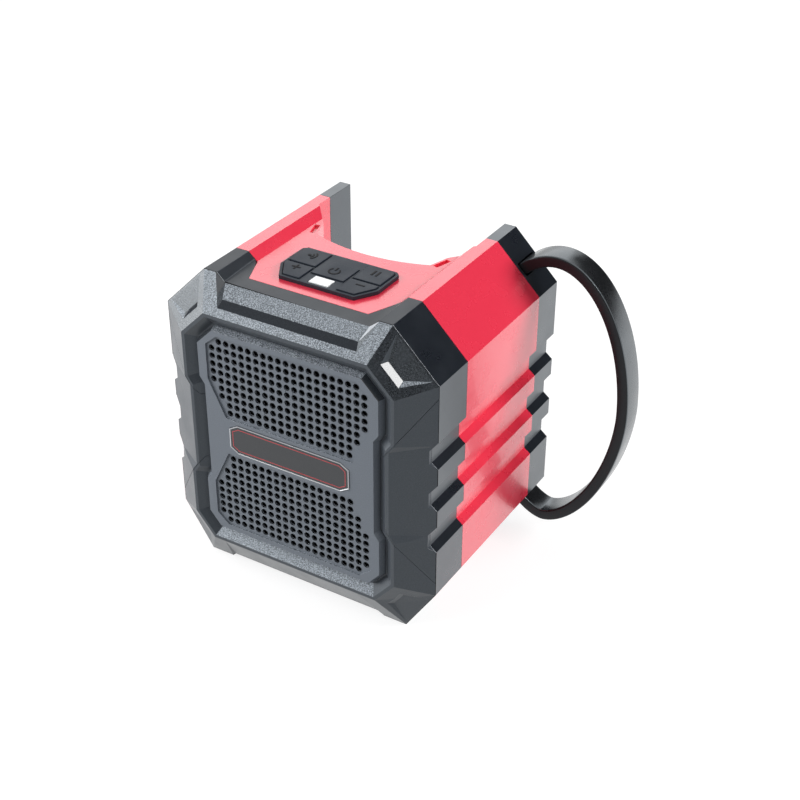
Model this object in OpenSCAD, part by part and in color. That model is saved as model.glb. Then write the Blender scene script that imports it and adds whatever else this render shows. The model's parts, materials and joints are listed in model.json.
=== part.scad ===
// Cordless jobsite speaker with a perforated front, a keypad on top, a battery bay behind and a side strap.
// X runs across the front, Y runs from the front to the rear and Z is up. The origin is under the middle.

/* [Body] */
// Width across the two side faces
body_w = 140; // [132:1:170]
// Height of the top rims above the feet
body_h = 155; // [150:1:185]
// Depth of the front bezel
bezel_d = 10.5; // [10:0.5:14]
// Depth of the dark bumper behind the bezel
front_bumper_d = 23.5; // [21:0.5:30]
// Depth of the red housing between the bumpers
housing_d = 66; // [62:1:90]
// Depth of the two rear bumpers
rear_bumper_d = 18; // [16.5:0.5:26]
// Chamfer of the two upper corners
top_chamfer = 22.2; // [19:0.2:25]
// Width of the lower corner chamfer
base_chamfer_w = 15.4; // [12:0.2:18]
// Height of the lower corner chamfer
base_chamfer_h = 24; // [20:0.5:28]
// Height of the moulded runners under the body
runner_h = 1.6; // [1:0.1:2.5]
// Width of each moulded runner
runner_w = 12; // [10:0.5:14]
// Wall of the bumpers at the bottom of a groove
bumper_wall = 3; // [2.5:0.1:3.5]
// Wall of the red housing
shell_wall = 2.8; // [2:0.1:3.2]
// Gap between mouldings that fit into each other
fit = 0.2; // [0.1:0.05:0.3]

/* [Top trough] */
// Width between the inner edges of the two top rims
trough_w = 82; // [78:1:83]
// Depth of the trough floor under the rims
trough_depth = 4; // [3.5:0.1:5]
// Width of the slope from a rim down to the trough floor
trough_slope = 4.4; // [3.5:0.1:5.5]
// Distance from the bezel to the red floor of the trough
trough_lip = 8.6; // [7:0.1:12]
// Width of the red floor at its front edge
trough_front_w = 61; // [56:1:66]

/* [Side grooves] */
// Height of the middle groove
groove_mid_z = 76.7; // [70:0.5:80]
// Distance from groove to groove
groove_pitch = 21.9; // [19:0.1:23]
// Depth of a groove
groove_depth = 3.3; // [2.5:0.1:4]
// Height of the upper slant of a groove
groove_upper = 4.2; // [3:0.1:5]
// Height of the flat bottom of a groove
groove_flat = 6.7; // [5:0.1:8]
// Height of the lower slant of a groove
groove_lower = 2.7; // [2:0.1:4]

/* [Bezel] */
// Half width of the bezel rim at its top edge
rim_top_x = 41.7; // [38:0.1:43]
// Half width of the bezel rim at its sides
rim_side_x = 54.7; // [52:0.1:57]
// Distance from the top rims down to the top of the bezel rim
rim_drop = 15.4; // [14:0.1:18]
// Height of the bottom of the bezel rim
rim_base_z = 17.7; // [15:0.1:20]
// Upper corner of the bezel rim, its height
rim_corner_up = 13; // [10:0.5:15]
// Lower corner of the bezel rim, its height
rim_corner_low = 12; // [10:0.5:14]
// Half width of the bezel rim at its bottom edge
rim_base_x = 44.6; // [42:0.1:47]
// How far the rim steps in at half height
waist_step = 2.6; // [1.5:0.1:3.4]
// Height of the narrower stretch of the rim
waist_h = 43; // [38:1:48]
// Width of the flat rim
rim_flat = 1.6; // [1.2:0.1:2]
// Width of the sloping wall inside the rim
trench_slope = 4.3; // [3.5:0.1:4.6]
// Depth of the trench between the rim and the grille
trench_d = 3.8; // [3:0.1:4.4]
// How far the edge of the bezel lies inside the edge of the bumper
edge_step = 0.2; // [0.1:0.05:0.4]
// Depth of the pockets in the corner facets
pocket_d = 1.25; // [0.8:0.05:1.4]

/* [Grille] */
// Distance from the rim to the edge of the grille face
grille_inset = 8; // [7.6:0.1:8.6]
// How far the grille face lies behind the rim
grille_back = 0.6; // [0.3:0.1:1]
// Depth of the perforated fields under the grille face
field_d = 0.9; // [0.6:0.1:1.2]
// Thickness of the perforated fields
field_t = 2; // [1.6:0.1:2.4]
// Diameter of a sound hole
hole_d = 3; // [2.4:0.1:3.2]
// Distance from hole to hole
hole_pitch = 3.94; // [3.7:0.02:4]
// Distance from the middle of the nameplate to the nearest hole row
hole_row_gap = 12.3; // [12:0.1:13]
// Half width of the nameplate
plate_x = 31.9; // [28:0.1:33]
// Height of the nameplate
plate_h = 15.2; // [13:0.1:15.6]
// Thickness of the nameplate
plate_t = 1.2; // [0.8:0.1:1.4]

/* [Keypad] */
// Half width of the keypad
pad_x = 25.2; // [24:0.1:27]
// Depth of the keypad
pad_d = 29; // [28:0.1:31]
// Distance from the bezel to the front edge of the keypad
pad_front = 15; // [14:0.1:16]
// Height of the keypad frame above the trough floor
pad_h = 1.9; // [1.6:0.1:2.4]
// How far the keys stand above the frame
key_proud = 0.5; // [0.3:0.1:1.2]
// Gap around a key
key_gap = 0.3; // [0.25:0.05:0.4]
// Travel of a key
key_travel = 0.8; // [0.5:0.1:0.9]

/* [Speaker driver] */
// Radius of the driver flange
flange_r = 44; // [42:0.5:46]
// Radius of the outer edge of the cone
cone_r = 31; // [29:0.5:31.5]
// Radius of the voice coil former
coil_r = 10; // [9:0.1:10.5]
// Radius of the magnet
magnet_r = 30; // [28:0.5:31]
// Thickness of the magnet
magnet_t = 10; // [8:0.5:11]
// Travel of the cone each way
cone_travel = 1.5; // [1:0.1:1.6]

/* [Battery bay] */
// Clear width of the bay between the wings
bay_w = 84; // [80:1:85]
// Width of the front wall of the bay between its two ears
bay_wall_w = 60; // [56:1:62]
// Distance from the rear end to the middle of the front wall
bay_d = 53; // [48:0.5:53]
// Height of the bay floor
bay_floor = 9; // [8:0.5:14]
// Thickness of the terminal block
block_t = 8; // [6:0.5:10]

/* [Strap] */
// Width of the strap
strap_w = 13; // [10:0.5:13.5]
// Thickness of the strap
strap_t = 5.6; // [4:0.1:6]
// How far the strap stands out from the side face
strap_reach = 46; // [38:0.5:60]
// Diameter of the pins that hold the strap
pin_d = 4; // [3:0.1:4.5]

/* [Hidden] */
$fn = 64;
eps = 0.01;
big = 400;

red = "crimson";
dark = "dimgray";
grey = "slategray";
black = "#202226";

// Stations along the depth
body_d = bezel_d + front_bumper_d + housing_d + rear_bumper_d;
y_rim = -body_d / 2;
y_join = y_rim + bezel_d;
y_bump = y_join + front_bumper_d;
y_rear = y_bump + housing_d;
y_end = y_rear + rear_bumper_d;

// Outline of the body, from the trough down the right side to the base
half_w = body_w / 2;
trough_x = trough_w / 2;
floor_x = trough_x - trough_slope;
floor_z = body_h - trough_depth;
foot_h = 0.5;
foot_pocket = 1.2;
runner_z = foot_h;
base_z = runner_z + runner_h;
groove_h = groove_upper + groove_flat + groove_lower;
base_lean = base_chamfer_w / base_chamfer_h;
runner_x = half_w - base_chamfer_w + base_lean * runner_z;

function base_x(z) = half_w - base_lean * (base_chamfer_h - z);
function both(half) = concat(half, [for (i = [len(half) - 1:-1:0]) [-half[i][0], half[i][1]]]);
function unit(v) = v / norm(v);
function right_of(v) = [v[1], -v[0]];
// Outline moved inwards by d, for points that run clockwise
function inset(p, d) = [for (i = [0:len(p) - 1])
    let (n = len(p))
    let (a = right_of(unit(p[i] - p[(i + n - 1) % n])))
    let (b = right_of(unit(p[(i + 1) % n] - p[i])))
    p[i] + d * (a + b) / (1 + a * b)];

groove_line = [for (k = [1:-1:-1])
    let (top = groove_mid_z + k * groove_pitch + groove_h / 2)
    each [[half_w, top],
        [half_w - groove_depth, top - groove_upper],
        [half_w - groove_depth, top - groove_upper - groove_flat],
        [half_w, top - groove_h]]];
body_line = both(concat(
    [[floor_x, floor_z], [trough_x, body_h], [half_w - top_chamfer, body_h], [half_w, body_h - top_chamfer]],
    groove_line,
    [[half_w, base_chamfer_h], [runner_x, runner_z], [runner_x - runner_w, runner_z],
        [runner_x - runner_w - runner_h, base_z]]));
// The same outline with plain sides at the bottom of the grooves
plain_line = both([[floor_x, floor_z], [trough_x, body_h], [half_w - top_chamfer, body_h],
    [half_w - groove_depth, body_h - top_chamfer + groove_depth],
    [half_w - groove_depth, base_chamfer_h - groove_depth / base_lean],
    [base_x(base_z), base_z]]);
spigot_line = inset(plain_line, bumper_wall + fit);
cavity_line = inset(plain_line, bumper_wall + fit + shell_wall);

// Solid between two stations along the depth, from an outline in X and Z
module run_y(a, b) {
    translate([0, b, 0])
        rotate([90, 0, 0])
            linear_extrude(b - a)
                children();
}

module bar_y(line, a, b) {
    run_y(a, b)
        polygon(line);
}

// Solid through outlines of the same count of points, clockwise, at stations from front to rear.
// Each end is closed by a fan around the height middle
module loft_y(lines, ys, middle) {
    n = len(lines[0]);
    m = len(lines);
    rings = [for (k = [0:m - 1]) for (p = lines[k]) [p[0], ys[k], p[1]]];
    sides = [for (k = [0:m - 2]) for (i = [0:n - 1])
        let (j = (i + 1) % n)
        each [[k * n + j, k * n + i, (k + 1) * n + i], [(k + 1) * n + j, k * n + j, (k + 1) * n + i]]];
    first = [for (i = [0:n - 1]) [m * n, i, (i + 1) % n]];
    last = [for (i = [0:n - 1]) [m * n + 1, (m - 1) * n + (i + 1) % n, (m - 1) * n + i]];
    points = concat(rings, [[0, ys[0], middle], [0, ys[m - 1], middle]]);
    polyhedron(points, concat(first, last, sides), convexity = 6);
}

module rod_y(d, a, b) {
    translate([0, b, 0])
        rotate([90, 0, 0])
            cylinder(d = d, h = b - a);
}

module both_sides() {
    children();
    mirror([1, 0, 0])
        children();
}

// Bezel rim and the facets around it
rim_z = body_h - rim_drop;
rim_mid = (rim_z + rim_base_z) / 2;
waist_lead = 3.7;
rim_line = both([[rim_top_x, rim_z], [rim_side_x, rim_z - rim_corner_up],
    [rim_side_x, rim_mid + waist_h / 2 + waist_lead], [rim_side_x - waist_step, rim_mid + waist_h / 2],
    [rim_side_x - waist_step, rim_mid - waist_h / 2], [rim_side_x, rim_mid - waist_h / 2 - waist_lead],
    [rim_side_x, rim_base_z + rim_corner_low], [rim_base_x, rim_base_z]]);
// The loft needs a rim point for each corner of the body's outline
facet_line = inset(both([[half_w - top_chamfer, body_h],
    [half_w, body_h - top_chamfer],
    [half_w, rim_mid + waist_h / 2 + waist_lead], [half_w, rim_mid + waist_h / 2],
    [half_w, rim_mid - waist_h / 2], [half_w, rim_mid - waist_h / 2 - waist_lead],
    [half_w, base_chamfer_h], [runner_x, runner_z], [runner_x - runner_w, runner_z],
    [runner_x - runner_w - runner_h, base_z]]), edge_step);
facet_rim = both(concat([for (i = [0:7]) rim_line[i]],
    [[rim_base_x - 6, rim_base_z], [rim_base_x - 10, rim_base_z]]));

// Point on a facet that runs from edge a-b at the joint to edge c-d at the rim, lifted off it by h
function facet_point(a, b, c, d, u, v, h) =
    let (p = (1 - v) * ((1 - u) * a + u * b) + v * ((1 - u) * c + u * d))
    p + h * unit(cross(c - a, b - a));
// Cut for a pocket that is flush at the joint between u0 and u1 and deepest at a wall near the rim, between e0 and e1
module facet_pocket(a, b, c, d, u0, u1, e0, e1, depth) {
    v_end = 0.58;
    v_foot = 0.75;
    spread = 0.07;
    reach = 0.8;
    near = facet_point(a, b, c, d, u0, 0, 0);
    far = facet_point(a, b, c, d, u1, 0, 0);
    end_near = facet_point(a, b, c, d, e0, v_end, -depth);
    end_far = facet_point(a, b, c, d, e1, v_end, -depth);
    rise_near = facet_point(a, b, c, d, e0 - spread, v_foot, 0) - end_near;
    rise_far = facet_point(a, b, c, d, e1 + spread, v_foot, 0) - end_far;
    floor_face = [near, far, end_far, end_near];
    top_face = [near + reach * rise_near, far + reach * rise_far, end_far + (1 + reach) * rise_far,
        end_near + (1 + reach) * rise_near];
    polyhedron(concat(top_face, floor_face), [[0, 1, 2], [0, 2, 3], [6, 5, 4], [7, 6, 4], [1, 0, 4], [1, 4, 5],
        [2, 1, 5], [2, 5, 6], [3, 2, 6], [3, 6, 7], [0, 3, 7], [0, 7, 4]]);
}

function at_join(p) = [p[0], y_join, p[1]];
function at_rim(p) = [p[0], y_rim, p[1]];
cheek_top_z = rim_mid + waist_h / 2 + 27;
cheek_low_z = rim_mid - waist_h / 2 - 27;

// Ramp that carries the trough on over the bezel, as a cut. A steeper band at its end meets the upper facet
brow_reach = 5.3;
brow_drop = 5.1;
brow_x = floor_x - 2.1;
brow_foot = 7.9;
brow_foot_x = floor_x - 1.2;
function upper_facet_z(reach) = body_h - edge_step - rim_drop * reach / bezel_d;
function brow_wall_x(reach) = trough_x + 0.6 - (trough_x + 0.6 - brow_foot_x) * reach / brow_foot;
function brow_line(x, z, wall_x, wall_z) = [[-wall_x, body_h + 6], [wall_x, body_h + 6], [wall_x, wall_z], [x, z],
    [-x, z], [-wall_x, wall_z]];
module brow_cut() {
    z_edge = floor_z - brow_drop;
    past = 0.4;
    z_past = upper_facet_z(brow_foot) - past * (z_edge - upper_facet_z(brow_foot)) / (brow_foot - brow_reach);
    loft_y([brow_line(brow_foot_x - eps, z_past, brow_foot_x, z_past + eps),
        brow_line(brow_x, z_edge, brow_wall_x(brow_reach), upper_facet_z(brow_reach)),
        brow_line(floor_x, floor_z, trough_x + 0.6, body_h)],
        [y_join - brow_foot - past, y_join - brow_reach, y_join + eps], body_h + 3);
}

module side_groove_cuts() {
    both_sides()
        for (k = [-1:1]) {
            top = groove_mid_z + k * groove_pitch + groove_h / 2;
            bar_y([[half_w + eps, top], [half_w - groove_depth, top - groove_upper],
                [half_w - groove_depth, top - groove_upper - groove_flat], [half_w + eps, top - groove_h]],
                y_rim, y_end);
        }
}

// Panel, ledge and trench of the bezel, as outlines inside the rim
trench_line = inset(rim_line, rim_flat + trench_slope);
throat_line = inset(rim_line, rim_flat + trench_slope + 0.4);
flange_line = inset(rim_line, 2.4);
flange_t = 2;
scrim_t = 0.5;
y_trench = y_rim + trench_d;
y_flange = y_join - scrim_t - flange_t;

module bezel_form() {
    difference() {
        loft_y([facet_rim, facet_line], [y_rim, y_join], rim_mid);
        brow_cut();
        both_sides() {
            facet_pocket(at_join([half_w - top_chamfer, body_h]), at_join([half_w, body_h - top_chamfer]),
                at_rim(rim_line[0]), at_rim(rim_line[1]), 0.1, 0.92, 0.29, 0.71, pocket_d);
            facet_pocket(at_join([half_w, base_chamfer_h]), at_join([runner_x, runner_z]),
                at_rim(rim_line[6]), at_rim(rim_line[7]), 0.14, 0.95, 0.32, 0.74, pocket_d);
            facet_pocket(at_join([half_w, cheek_top_z]), at_join([half_w, cheek_low_z]),
                at_rim([rim_side_x, cheek_top_z]), at_rim([rim_side_x, cheek_low_z]),
                0.2, 0.8, 0.36, 0.64, 0.7 * pocket_d);
        }
        side_groove_cuts();
        loft_y([inset(rim_line, rim_flat - 0.05), trench_line], [y_rim - 0.05, y_trench], rim_mid);
        bar_y(throat_line, y_rim, y_join + eps);
        bar_y(inset(flange_line, -fit), y_flange, y_join + eps);
        bar_y([[-big, -big], [-big, big], [big, big], [big, -big]], y_join, y_end);
        for (s = baffle_screw_spots)
            translate([s[0], 0, s[1]])
                rod_y(screw_bore, y_join - screw_grip, y_join + eps);
    }
}

// The side inserts part from the frame along these lines, seen from the front
part_gap = 0.15;
cheek_outer_rise = 51.5;
cheek_rim_rise = 26;
cheek_in_rise = 17;
cheek_in_x = 48.2;
function cheek_side(s) = [[cheek_in_x - 8, s * cheek_in_rise], [cheek_in_x, s * cheek_in_rise],
    [rim_side_x, s * cheek_rim_rise], [half_w + 2, s * cheek_outer_rise]];
cheek_line = [for (p = concat(cheek_side(1), [for (i = [3:-1:0]) cheek_side(-1)[i]])) p + [0, rim_mid]];

// Rail of the frame that runs on behind each insert
cheek_t = 2;
rail_plan = [[rim_side_x - 14, y_trench + cheek_t], [rim_side_x + 2.8, y_trench + cheek_t],
    [half_w - groove_depth - bumper_wall - 1, y_join], [rim_side_x - 14, y_join]];

module rail(grow) {
    linear_extrude(body_h)
        offset(delta = grow)
            polygon(rail_plan);
}

module front_bezel() {
    color(grey)
        difference() {
            bezel_form();
            both_sides()
                difference() {
                    bar_y(cheek_line, y_rim - 1, y_join + 1);
                    rail(0);
                }
        }
}

module cheek() {
    color(grey)
        difference() {
            intersection() {
                bezel_form();
                bar_y(inset(cheek_line, part_gap), y_rim - 1, y_join + 1);
            }
            rail(part_gap);
        }
}

module cheek_right() {
    cheek();
}

module cheek_left() {
    mirror([1, 0, 0])
        cheek();
}

// Perforated grille
grille_line = inset(rim_line, grille_inset);
core_line = inset(rim_line, rim_flat + trench_slope + 0.4 + fit);
y_grille = y_rim + grille_back;
y_field = y_grille + field_d;
field_edge = 2.8;
field_border = 2.2;
field_half_h = (rim_z - rim_base_z) / 2 - grille_inset - field_border;
field_half_w = rim_side_x - waist_step - grille_inset - 1;
hole_cols = floor((field_half_w - field_edge) / hole_pitch);
hole_rows = floor((field_half_h - field_edge - hole_row_gap) / hole_pitch) + 1;
field_top = hole_row_gap + (hole_rows - 1) * hole_pitch + field_edge;
field_low = hole_row_gap - field_edge;
field_x = hole_cols * hole_pitch + field_edge;
field_line = both([[field_x - 6.1, field_top], [field_x, field_top - 5.2], [field_x, hole_row_gap + 3.9 * hole_pitch],
    [plate_x + 1.5, field_low]]);

// How many holes a column lacks at its outer and inner end
function outer_lack(c) = abs(c) == hole_cols ? 1 : 0;
function inner_lack(c) = abs(c) == hole_cols ? 4 : abs(c) == hole_cols - 1 ? 2 : 0;

module field_face() {
    difference() {
        polygon(field_line);
        for (c = [-hole_cols:hole_cols])
            for (r = [inner_lack(c):hole_rows - 1 - outer_lack(c)])
                translate([c * hole_pitch, hole_row_gap + r * hole_pitch])
                    circle(d = hole_d, $fn = 24);
    }
}

module each_field() {
    translate([0, 0, rim_mid]) {
        children();
        mirror([0, 0, 1])
            children();
    }
}

plate_chamfer = 4.5;
plate_line = both([[plate_x - plate_chamfer, plate_h / 2], [plate_x, plate_h / 2 - 2.7],
    [plate_x, 2.7 - plate_h / 2], [plate_x - plate_chamfer, -plate_h / 2]]);
plate_sunk = 0.7;

module grille_panel() {
    color(grey)
        union() {
            difference() {
                union() {
                    loft_y([grille_line, core_line], [y_grille, y_grille + 3], rim_mid);
                    bar_y(core_line, y_grille + 3, y_flange + eps);
                    bar_y(flange_line, y_flange, y_flange + flange_t);
                }
                bar_y(inset(core_line, 4), y_field + field_t, y_join);
                each_field()
                    bar_y(field_line, y_rim, y_join);
                translate([0, 0, rim_mid])
                    bar_y(inset(plate_line, -fit / 2), y_rim, y_grille + plate_sunk);
            }
            each_field()
                run_y(y_field, y_field + field_t)
                    field_face();
        }
}

module nameplate() {
    color(black)
        translate([0, 0, rim_mid])
            bar_y(plate_line, y_grille + plate_sunk - plate_t, y_grille + plate_sunk);
}

module grille_scrim() {
    color(black)
        bar_y(flange_line, y_join - scrim_t, y_join);
}

// Baffle that closes the front of the housing and carries the driver
baffle_t = 4;
y_baffle = y_join + baffle_t;
driver_z = rim_mid;
lip_r = cone_r + 7;
screw_d = 3;
screw_bore = 2.6;
screw_head = 5.6;
screw_grip = 6;
screw_low_rise = 14;
screw_in = 22;
screw_clear = 0.6;
screw_side_x = half_w - groove_depth - bumper_wall - fit - shell_wall - screw_head / 2 - screw_clear;
screw_top_z = floor_z - bumper_wall - fit - shell_wall - screw_head / 2 - screw_clear;
baffle_screw_spots = [for (x = [-1, 1]) each [[x * screw_side_x, rim_base_z + screw_low_rise],
    [x * screw_side_x, rim_z - screw_low_rise], [x * screw_in, screw_top_z], [x * screw_in, rim_base_z - 2]]];
driver_screw_spots = [for (x = [-1, 1]) for (z = [-1, 1])
    [x * (flange_r - 3) * cos(45), driver_z + z * (flange_r - 3) * sin(45)]];

module baffle() {
    color(black)
        difference() {
            bar_y(spigot_line, y_join, y_baffle);
            translate([0, 0, driver_z])
                rod_y(2 * lip_r + 0.6, y_rim, y_rear);
            for (s = baffle_screw_spots)
                translate([s[0], 0, s[1]])
                    rod_y(screw_d + 2 * fit, y_rim, y_rear);
            for (s = driver_screw_spots)
                translate([s[0], 0, s[1]])
                    rod_y(screw_bore, y_rim, y_rear);
        }
}

// Screw with its head towards the rear, seated on a face at y
module rear_screw(y, grip) {
    rod_y(screw_d - 0.4, y - grip, y + eps);
    difference() {
        rod_y(screw_head, y, y + 2);
        run_y(y + 1, y + 3)
            for (a = [0, 90])
                rotate(a)
                    square([3, 0.7], center = true);
    }
}

module baffle_screws() {
    color("silver")
        for (s = baffle_screw_spots)
            translate([s[0], 0, s[1]])
                rear_screw(y_baffle, baffle_t + screw_grip - 1);
}

// Red housing with the dark bumpers at both ends
trough_tongue = [[-trough_front_w / 2, y_join + trough_lip], [trough_front_w / 2, y_join + trough_lip],
    [floor_x, y_bump], [floor_x, y_bump + 1], [-floor_x, y_bump + 1], [-floor_x, y_bump]];
module tongue_space(d) {
    translate([0, 0, floor_z - bumper_wall - 2 * fit])
        linear_extrude(big)
            offset(delta = d)
                polygon(trough_tongue);
}

module foot_spots() {
    for (x = [-1, 1])
        for (y = [y_join + 12, y_rear - 12])
            translate([x * (runner_x - runner_w / 2), y, 0])
                children();
}

module foot_pad(grow) {
    linear_extrude(foot_pocket + foot_h + grow)
        square([8 + 2 * grow, 16 + 2 * grow], center = true);
}

module front_bumper() {
    color(dark)
        difference() {
            bar_y(body_line, y_join, y_bump);
            bar_y(inset(plain_line, bumper_wall), y_join - 1, y_bump + 1);
            tongue_space(0);
            foot_spots()
                foot_pad(0);
        }
}

// Plan of the battery bay, a shallow arc at the front between two ears
y_bay = y_end - bay_d;
bay_x = bay_w / 2;
wall_x = bay_wall_w / 2;
bay_arc_r = 79;
ear_lead = 10;
ear_reach = 20;
function arc_y(x) = y_bay + bay_arc_r - sqrt(bay_arc_r * bay_arc_r - x * x);
bay_steps = 8;
bay_half = concat([for (i = [0:bay_steps]) let (x = wall_x * i / bay_steps) [x, arc_y(x)]],
    [[wall_x + 3, arc_y(wall_x) + ear_lead], [wall_x + 6, arc_y(wall_x) + ear_lead + 4],
        [bay_x, arc_y(wall_x) + ear_reach], [bay_x, y_end + 1]]);
function mirrored(half) = concat(half, [for (i = [len(half) - 1:-1:1]) [-half[i][0], half[i][1]]]);
bay_plan = mirrored(bay_half);

y_wall = y_bay - shell_wall;
wing_in = bay_x + shell_wall;
bump_screw_x = (wing_in + half_w - groove_depth - shell_wall) / 2;
bump_screw_zs = [46, body_h / 2, body_h - 43];
boss_d = 8;
boss_l = 14;

module bay_space(z) {
    translate([0, 0, z])
        linear_extrude(big)
            polygon(bay_plan);
}

// Hollow of a wing, between the bay and the outer wall
module wing_hollow(a, b) {
    intersection() {
        bar_y(cavity_line, a, b);
        translate([wing_in, a - 1, 0])
            cube([big, b - a + 2, big]);
    }
}

// Shallow slot in the trough floor in front of each ear
slot_w = 2.6;
slot_l = 8.6;
slot_d = 1.2;
slot_lean = 16;
slot_x = wall_x + 3.7;
slot_y = arc_y(wall_x) + 4;
module ear_slots() {
    both_sides()
        translate([slot_x, slot_y, floor_z - slot_d])
            rotate(-slot_lean)
                linear_extrude(slot_d + 1)
                    square([slot_w, slot_l], center = true);
}

module main_housing() {
    color(red)
        difference() {
            union() {
                difference() {
                    union() {
                        bar_y(body_line, y_bump, y_rear);
                        bar_y(spigot_line, y_baffle, y_bump + eps);
                        intersection() {
                            bar_y(body_line, y_join, y_bump + eps);
                            tongue_space(-fit / 2);
                        }
                    }
                    bar_y(cavity_line, y_join, y_wall);
                    intersection() {
                        bar_y(cavity_line, y_wall - eps, y_rear + 1);
                        translate([-half_w, y_wall - 1, bay_floor])
                            cube([body_w, body_d, body_h]);
                    }
                    bay_space(bay_floor);
                }
                both_sides()
                    for (z = bump_screw_zs)
                        translate([bump_screw_x, 0, z]) {
                            rod_y(boss_d, y_rear - boss_l, y_rear);
                            translate([0, y_rear - boss_l, -1])
                                cube([half_w - groove_depth - 1 - bump_screw_x, boss_l, 2]);
                        }
                key_posts();
            }
            keypad_well();
            ear_slots();
            foot_spots()
                foot_pad(0);
            both_sides()
                for (z = bump_screw_zs)
                    translate([bump_screw_x, 0, z])
                        rod_y(screw_bore, y_rear - boss_l + 2, y_rear + 1);
        }
}

// Liner of the bay inside the housing: its front wall, the two ears and the inner walls of the wings
liner_ear = 2;
liner_half = [[0, y_wall], [wall_x + liner_ear, y_wall], [wing_in, arc_y(wall_x) + ear_reach - shell_wall],
    [wing_in, y_rear]];
liner_in = concat([for (i = [0:len(bay_half) - 2]) bay_half[i]], [[bay_x, y_rear]]);
liner_right = concat(liner_half, [for (i = [len(liner_in) - 1:-1:0]) liner_in[i]]);
block_frame = 4;

module bay_liner() {
    color(red)
        difference() {
            union() {
                intersection() {
                    bar_y(cavity_line, y_wall, y_rear);
                    translate([0, 0, bay_floor])
                        linear_extrude(body_h)
                            both_sides()
                                polygon(liner_right);
                }
                board_posts();
            }
            for (s = dock_screw_spots)
                translate([s[0], 0, s[1]])
                    rod_y(screw_d + 2 * fit, y_wall - 1, y_end);
            translate([-block_w / 2 + block_frame, y_wall - 1, block_z + block_frame])
                cube([block_w - 2 * block_frame, bay_d, block_h - 2 * block_frame]);
        }
}

// Rear bumpers, each a cap over a wing
module rear_bumper() {
    color(dark)
        difference() {
            union() {
                difference() {
                    intersection() {
                        bar_y(body_line, y_rear, y_end);
                        translate([bay_x, y_rear - 1, 0])
                            cube([big, rear_bumper_d + 2, big]);
                    }
                    wing_hollow(y_rear - 1, y_end - bumper_wall);
                }
                for (z = bump_screw_zs)
                    translate([bump_screw_x, 0, z])
                        rod_y(boss_d, y_rear, y_end - 1);
            }
            for (z = bump_screw_zs)
                translate([bump_screw_x, 0, z]) {
                    rod_y(screw_d + 2 * fit, y_rear - 1, y_end + 1);
                    rod_y(screw_head + 2 * fit, y_end - 4, y_end + 1);
                }
        }
}

module rear_bumper_left() {
    mirror([1, 0, 0])
        rear_bumper();
}

module rear_bumper_right() {
    color(dark)
        difference() {
            rear_bumper();
            strap_band(strap_clear);
            for (p = strap_ends)
                translate([p[0], 0, p[1]])
                    rod_y(pin_d, y_rear - 1, y_end - 1);
        }
}

module bumper_screws() {
    color("silver")
        both_sides()
            for (z = bump_screw_zs)
                translate([bump_screw_x, 0, z])
                    rear_screw(y_end - 4, rear_bumper_d - 4 + boss_l - 4);
}

module rubber_feet() {
    color(black)
        foot_spots()
            foot_pad(-fit / 2);
}

// Strap loop: two quarters of an oval outside the side face, with its ends turned into the bumper
strap_y = (y_rear + y_end) / 2;
strap_clear = 0.8;
strap_top_z = body_h - 1.7;
strap_low_z = 10;
strap_mid_z = (strap_top_z + strap_low_z) / 2;
strap_rise = (strap_top_z - strap_low_z) / 2;
strap_root_x = half_w + 6.3;
strap_run = strap_reach - 6.3;
strap_steps = 16;
// The lower half is drawn in a little, as rubber hangs
oval_upper = 2;
oval_lower = 1.75;
strap_in = 23;

function oval(x, power) = strap_rise * pow(1 - pow(abs(x) / strap_run, power), 1 / power);
// Outer line of the strap, from inside the upper slot round to inside the lower slot
upper_arc = [for (i = [0:strap_steps])
    let (a = i * 90 / strap_steps)
    [strap_root_x + strap_run * sin(a), strap_mid_z + oval(strap_run * sin(a), oval_upper)]];
lower_arc = [for (i = [1:strap_steps])
    let (a = 90 - i * 90 / strap_steps)
    [strap_root_x + strap_run * sin(a), strap_mid_z - oval(strap_run * sin(a), oval_lower)]];
lead = [for (f = [1, 0.75, 0.5, 0.25]) f * strap_in];
strap_line = concat(
    [for (x = lead) [strap_root_x - x, strap_mid_z + oval(x, oval_upper)]],
    upper_arc, lower_arc,
    [for (i = [len(lead) - 1:-1:0]) [strap_root_x - lead[i], strap_mid_z - oval(lead[i], oval_lower)]]);

function along(p, i) = unit(p[min(i + 1, len(p) - 1)] - p[max(i - 1, 0)]);
function shifted(p, d) = [for (i = [0:len(p) - 1]) p[i] + d * right_of(along(p, i))];
strap_ends = [shifted(strap_line, strap_t / 2)[0], shifted(strap_line, strap_t / 2)[len(strap_line) - 1]];
strap_bulb = strap_t + 3.4;

module strap_band(grow) {
    outer = shifted(strap_line, -grow);
    inner = shifted(strap_line, strap_t + grow);
    run_y(strap_y - strap_w / 2 - grow, strap_y + strap_w / 2 + grow)
        polygon(concat(outer, [for (i = [len(inner) - 1:-1:0]) inner[i]]));
    for (p = strap_ends)
        translate([p[0], 0, p[1]])
            rod_y(strap_bulb + 2 * grow, strap_y - strap_w / 2 - grow, strap_y + strap_w / 2 + grow);
}

module carry_strap() {
    color(black)
        difference() {
            strap_band(0);
            for (p = strap_ends)
                translate([p[0], 0, p[1]])
                    rod_y(pin_d, y_rear - 1, y_end);
        }
}

module strap_pins() {
    color("silver")
        for (p = strap_ends)
            translate([p[0], 0, p[1]])
                rod_y(pin_d - 0.1, y_rear + 0.5, y_end - 1.2);
}

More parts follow.
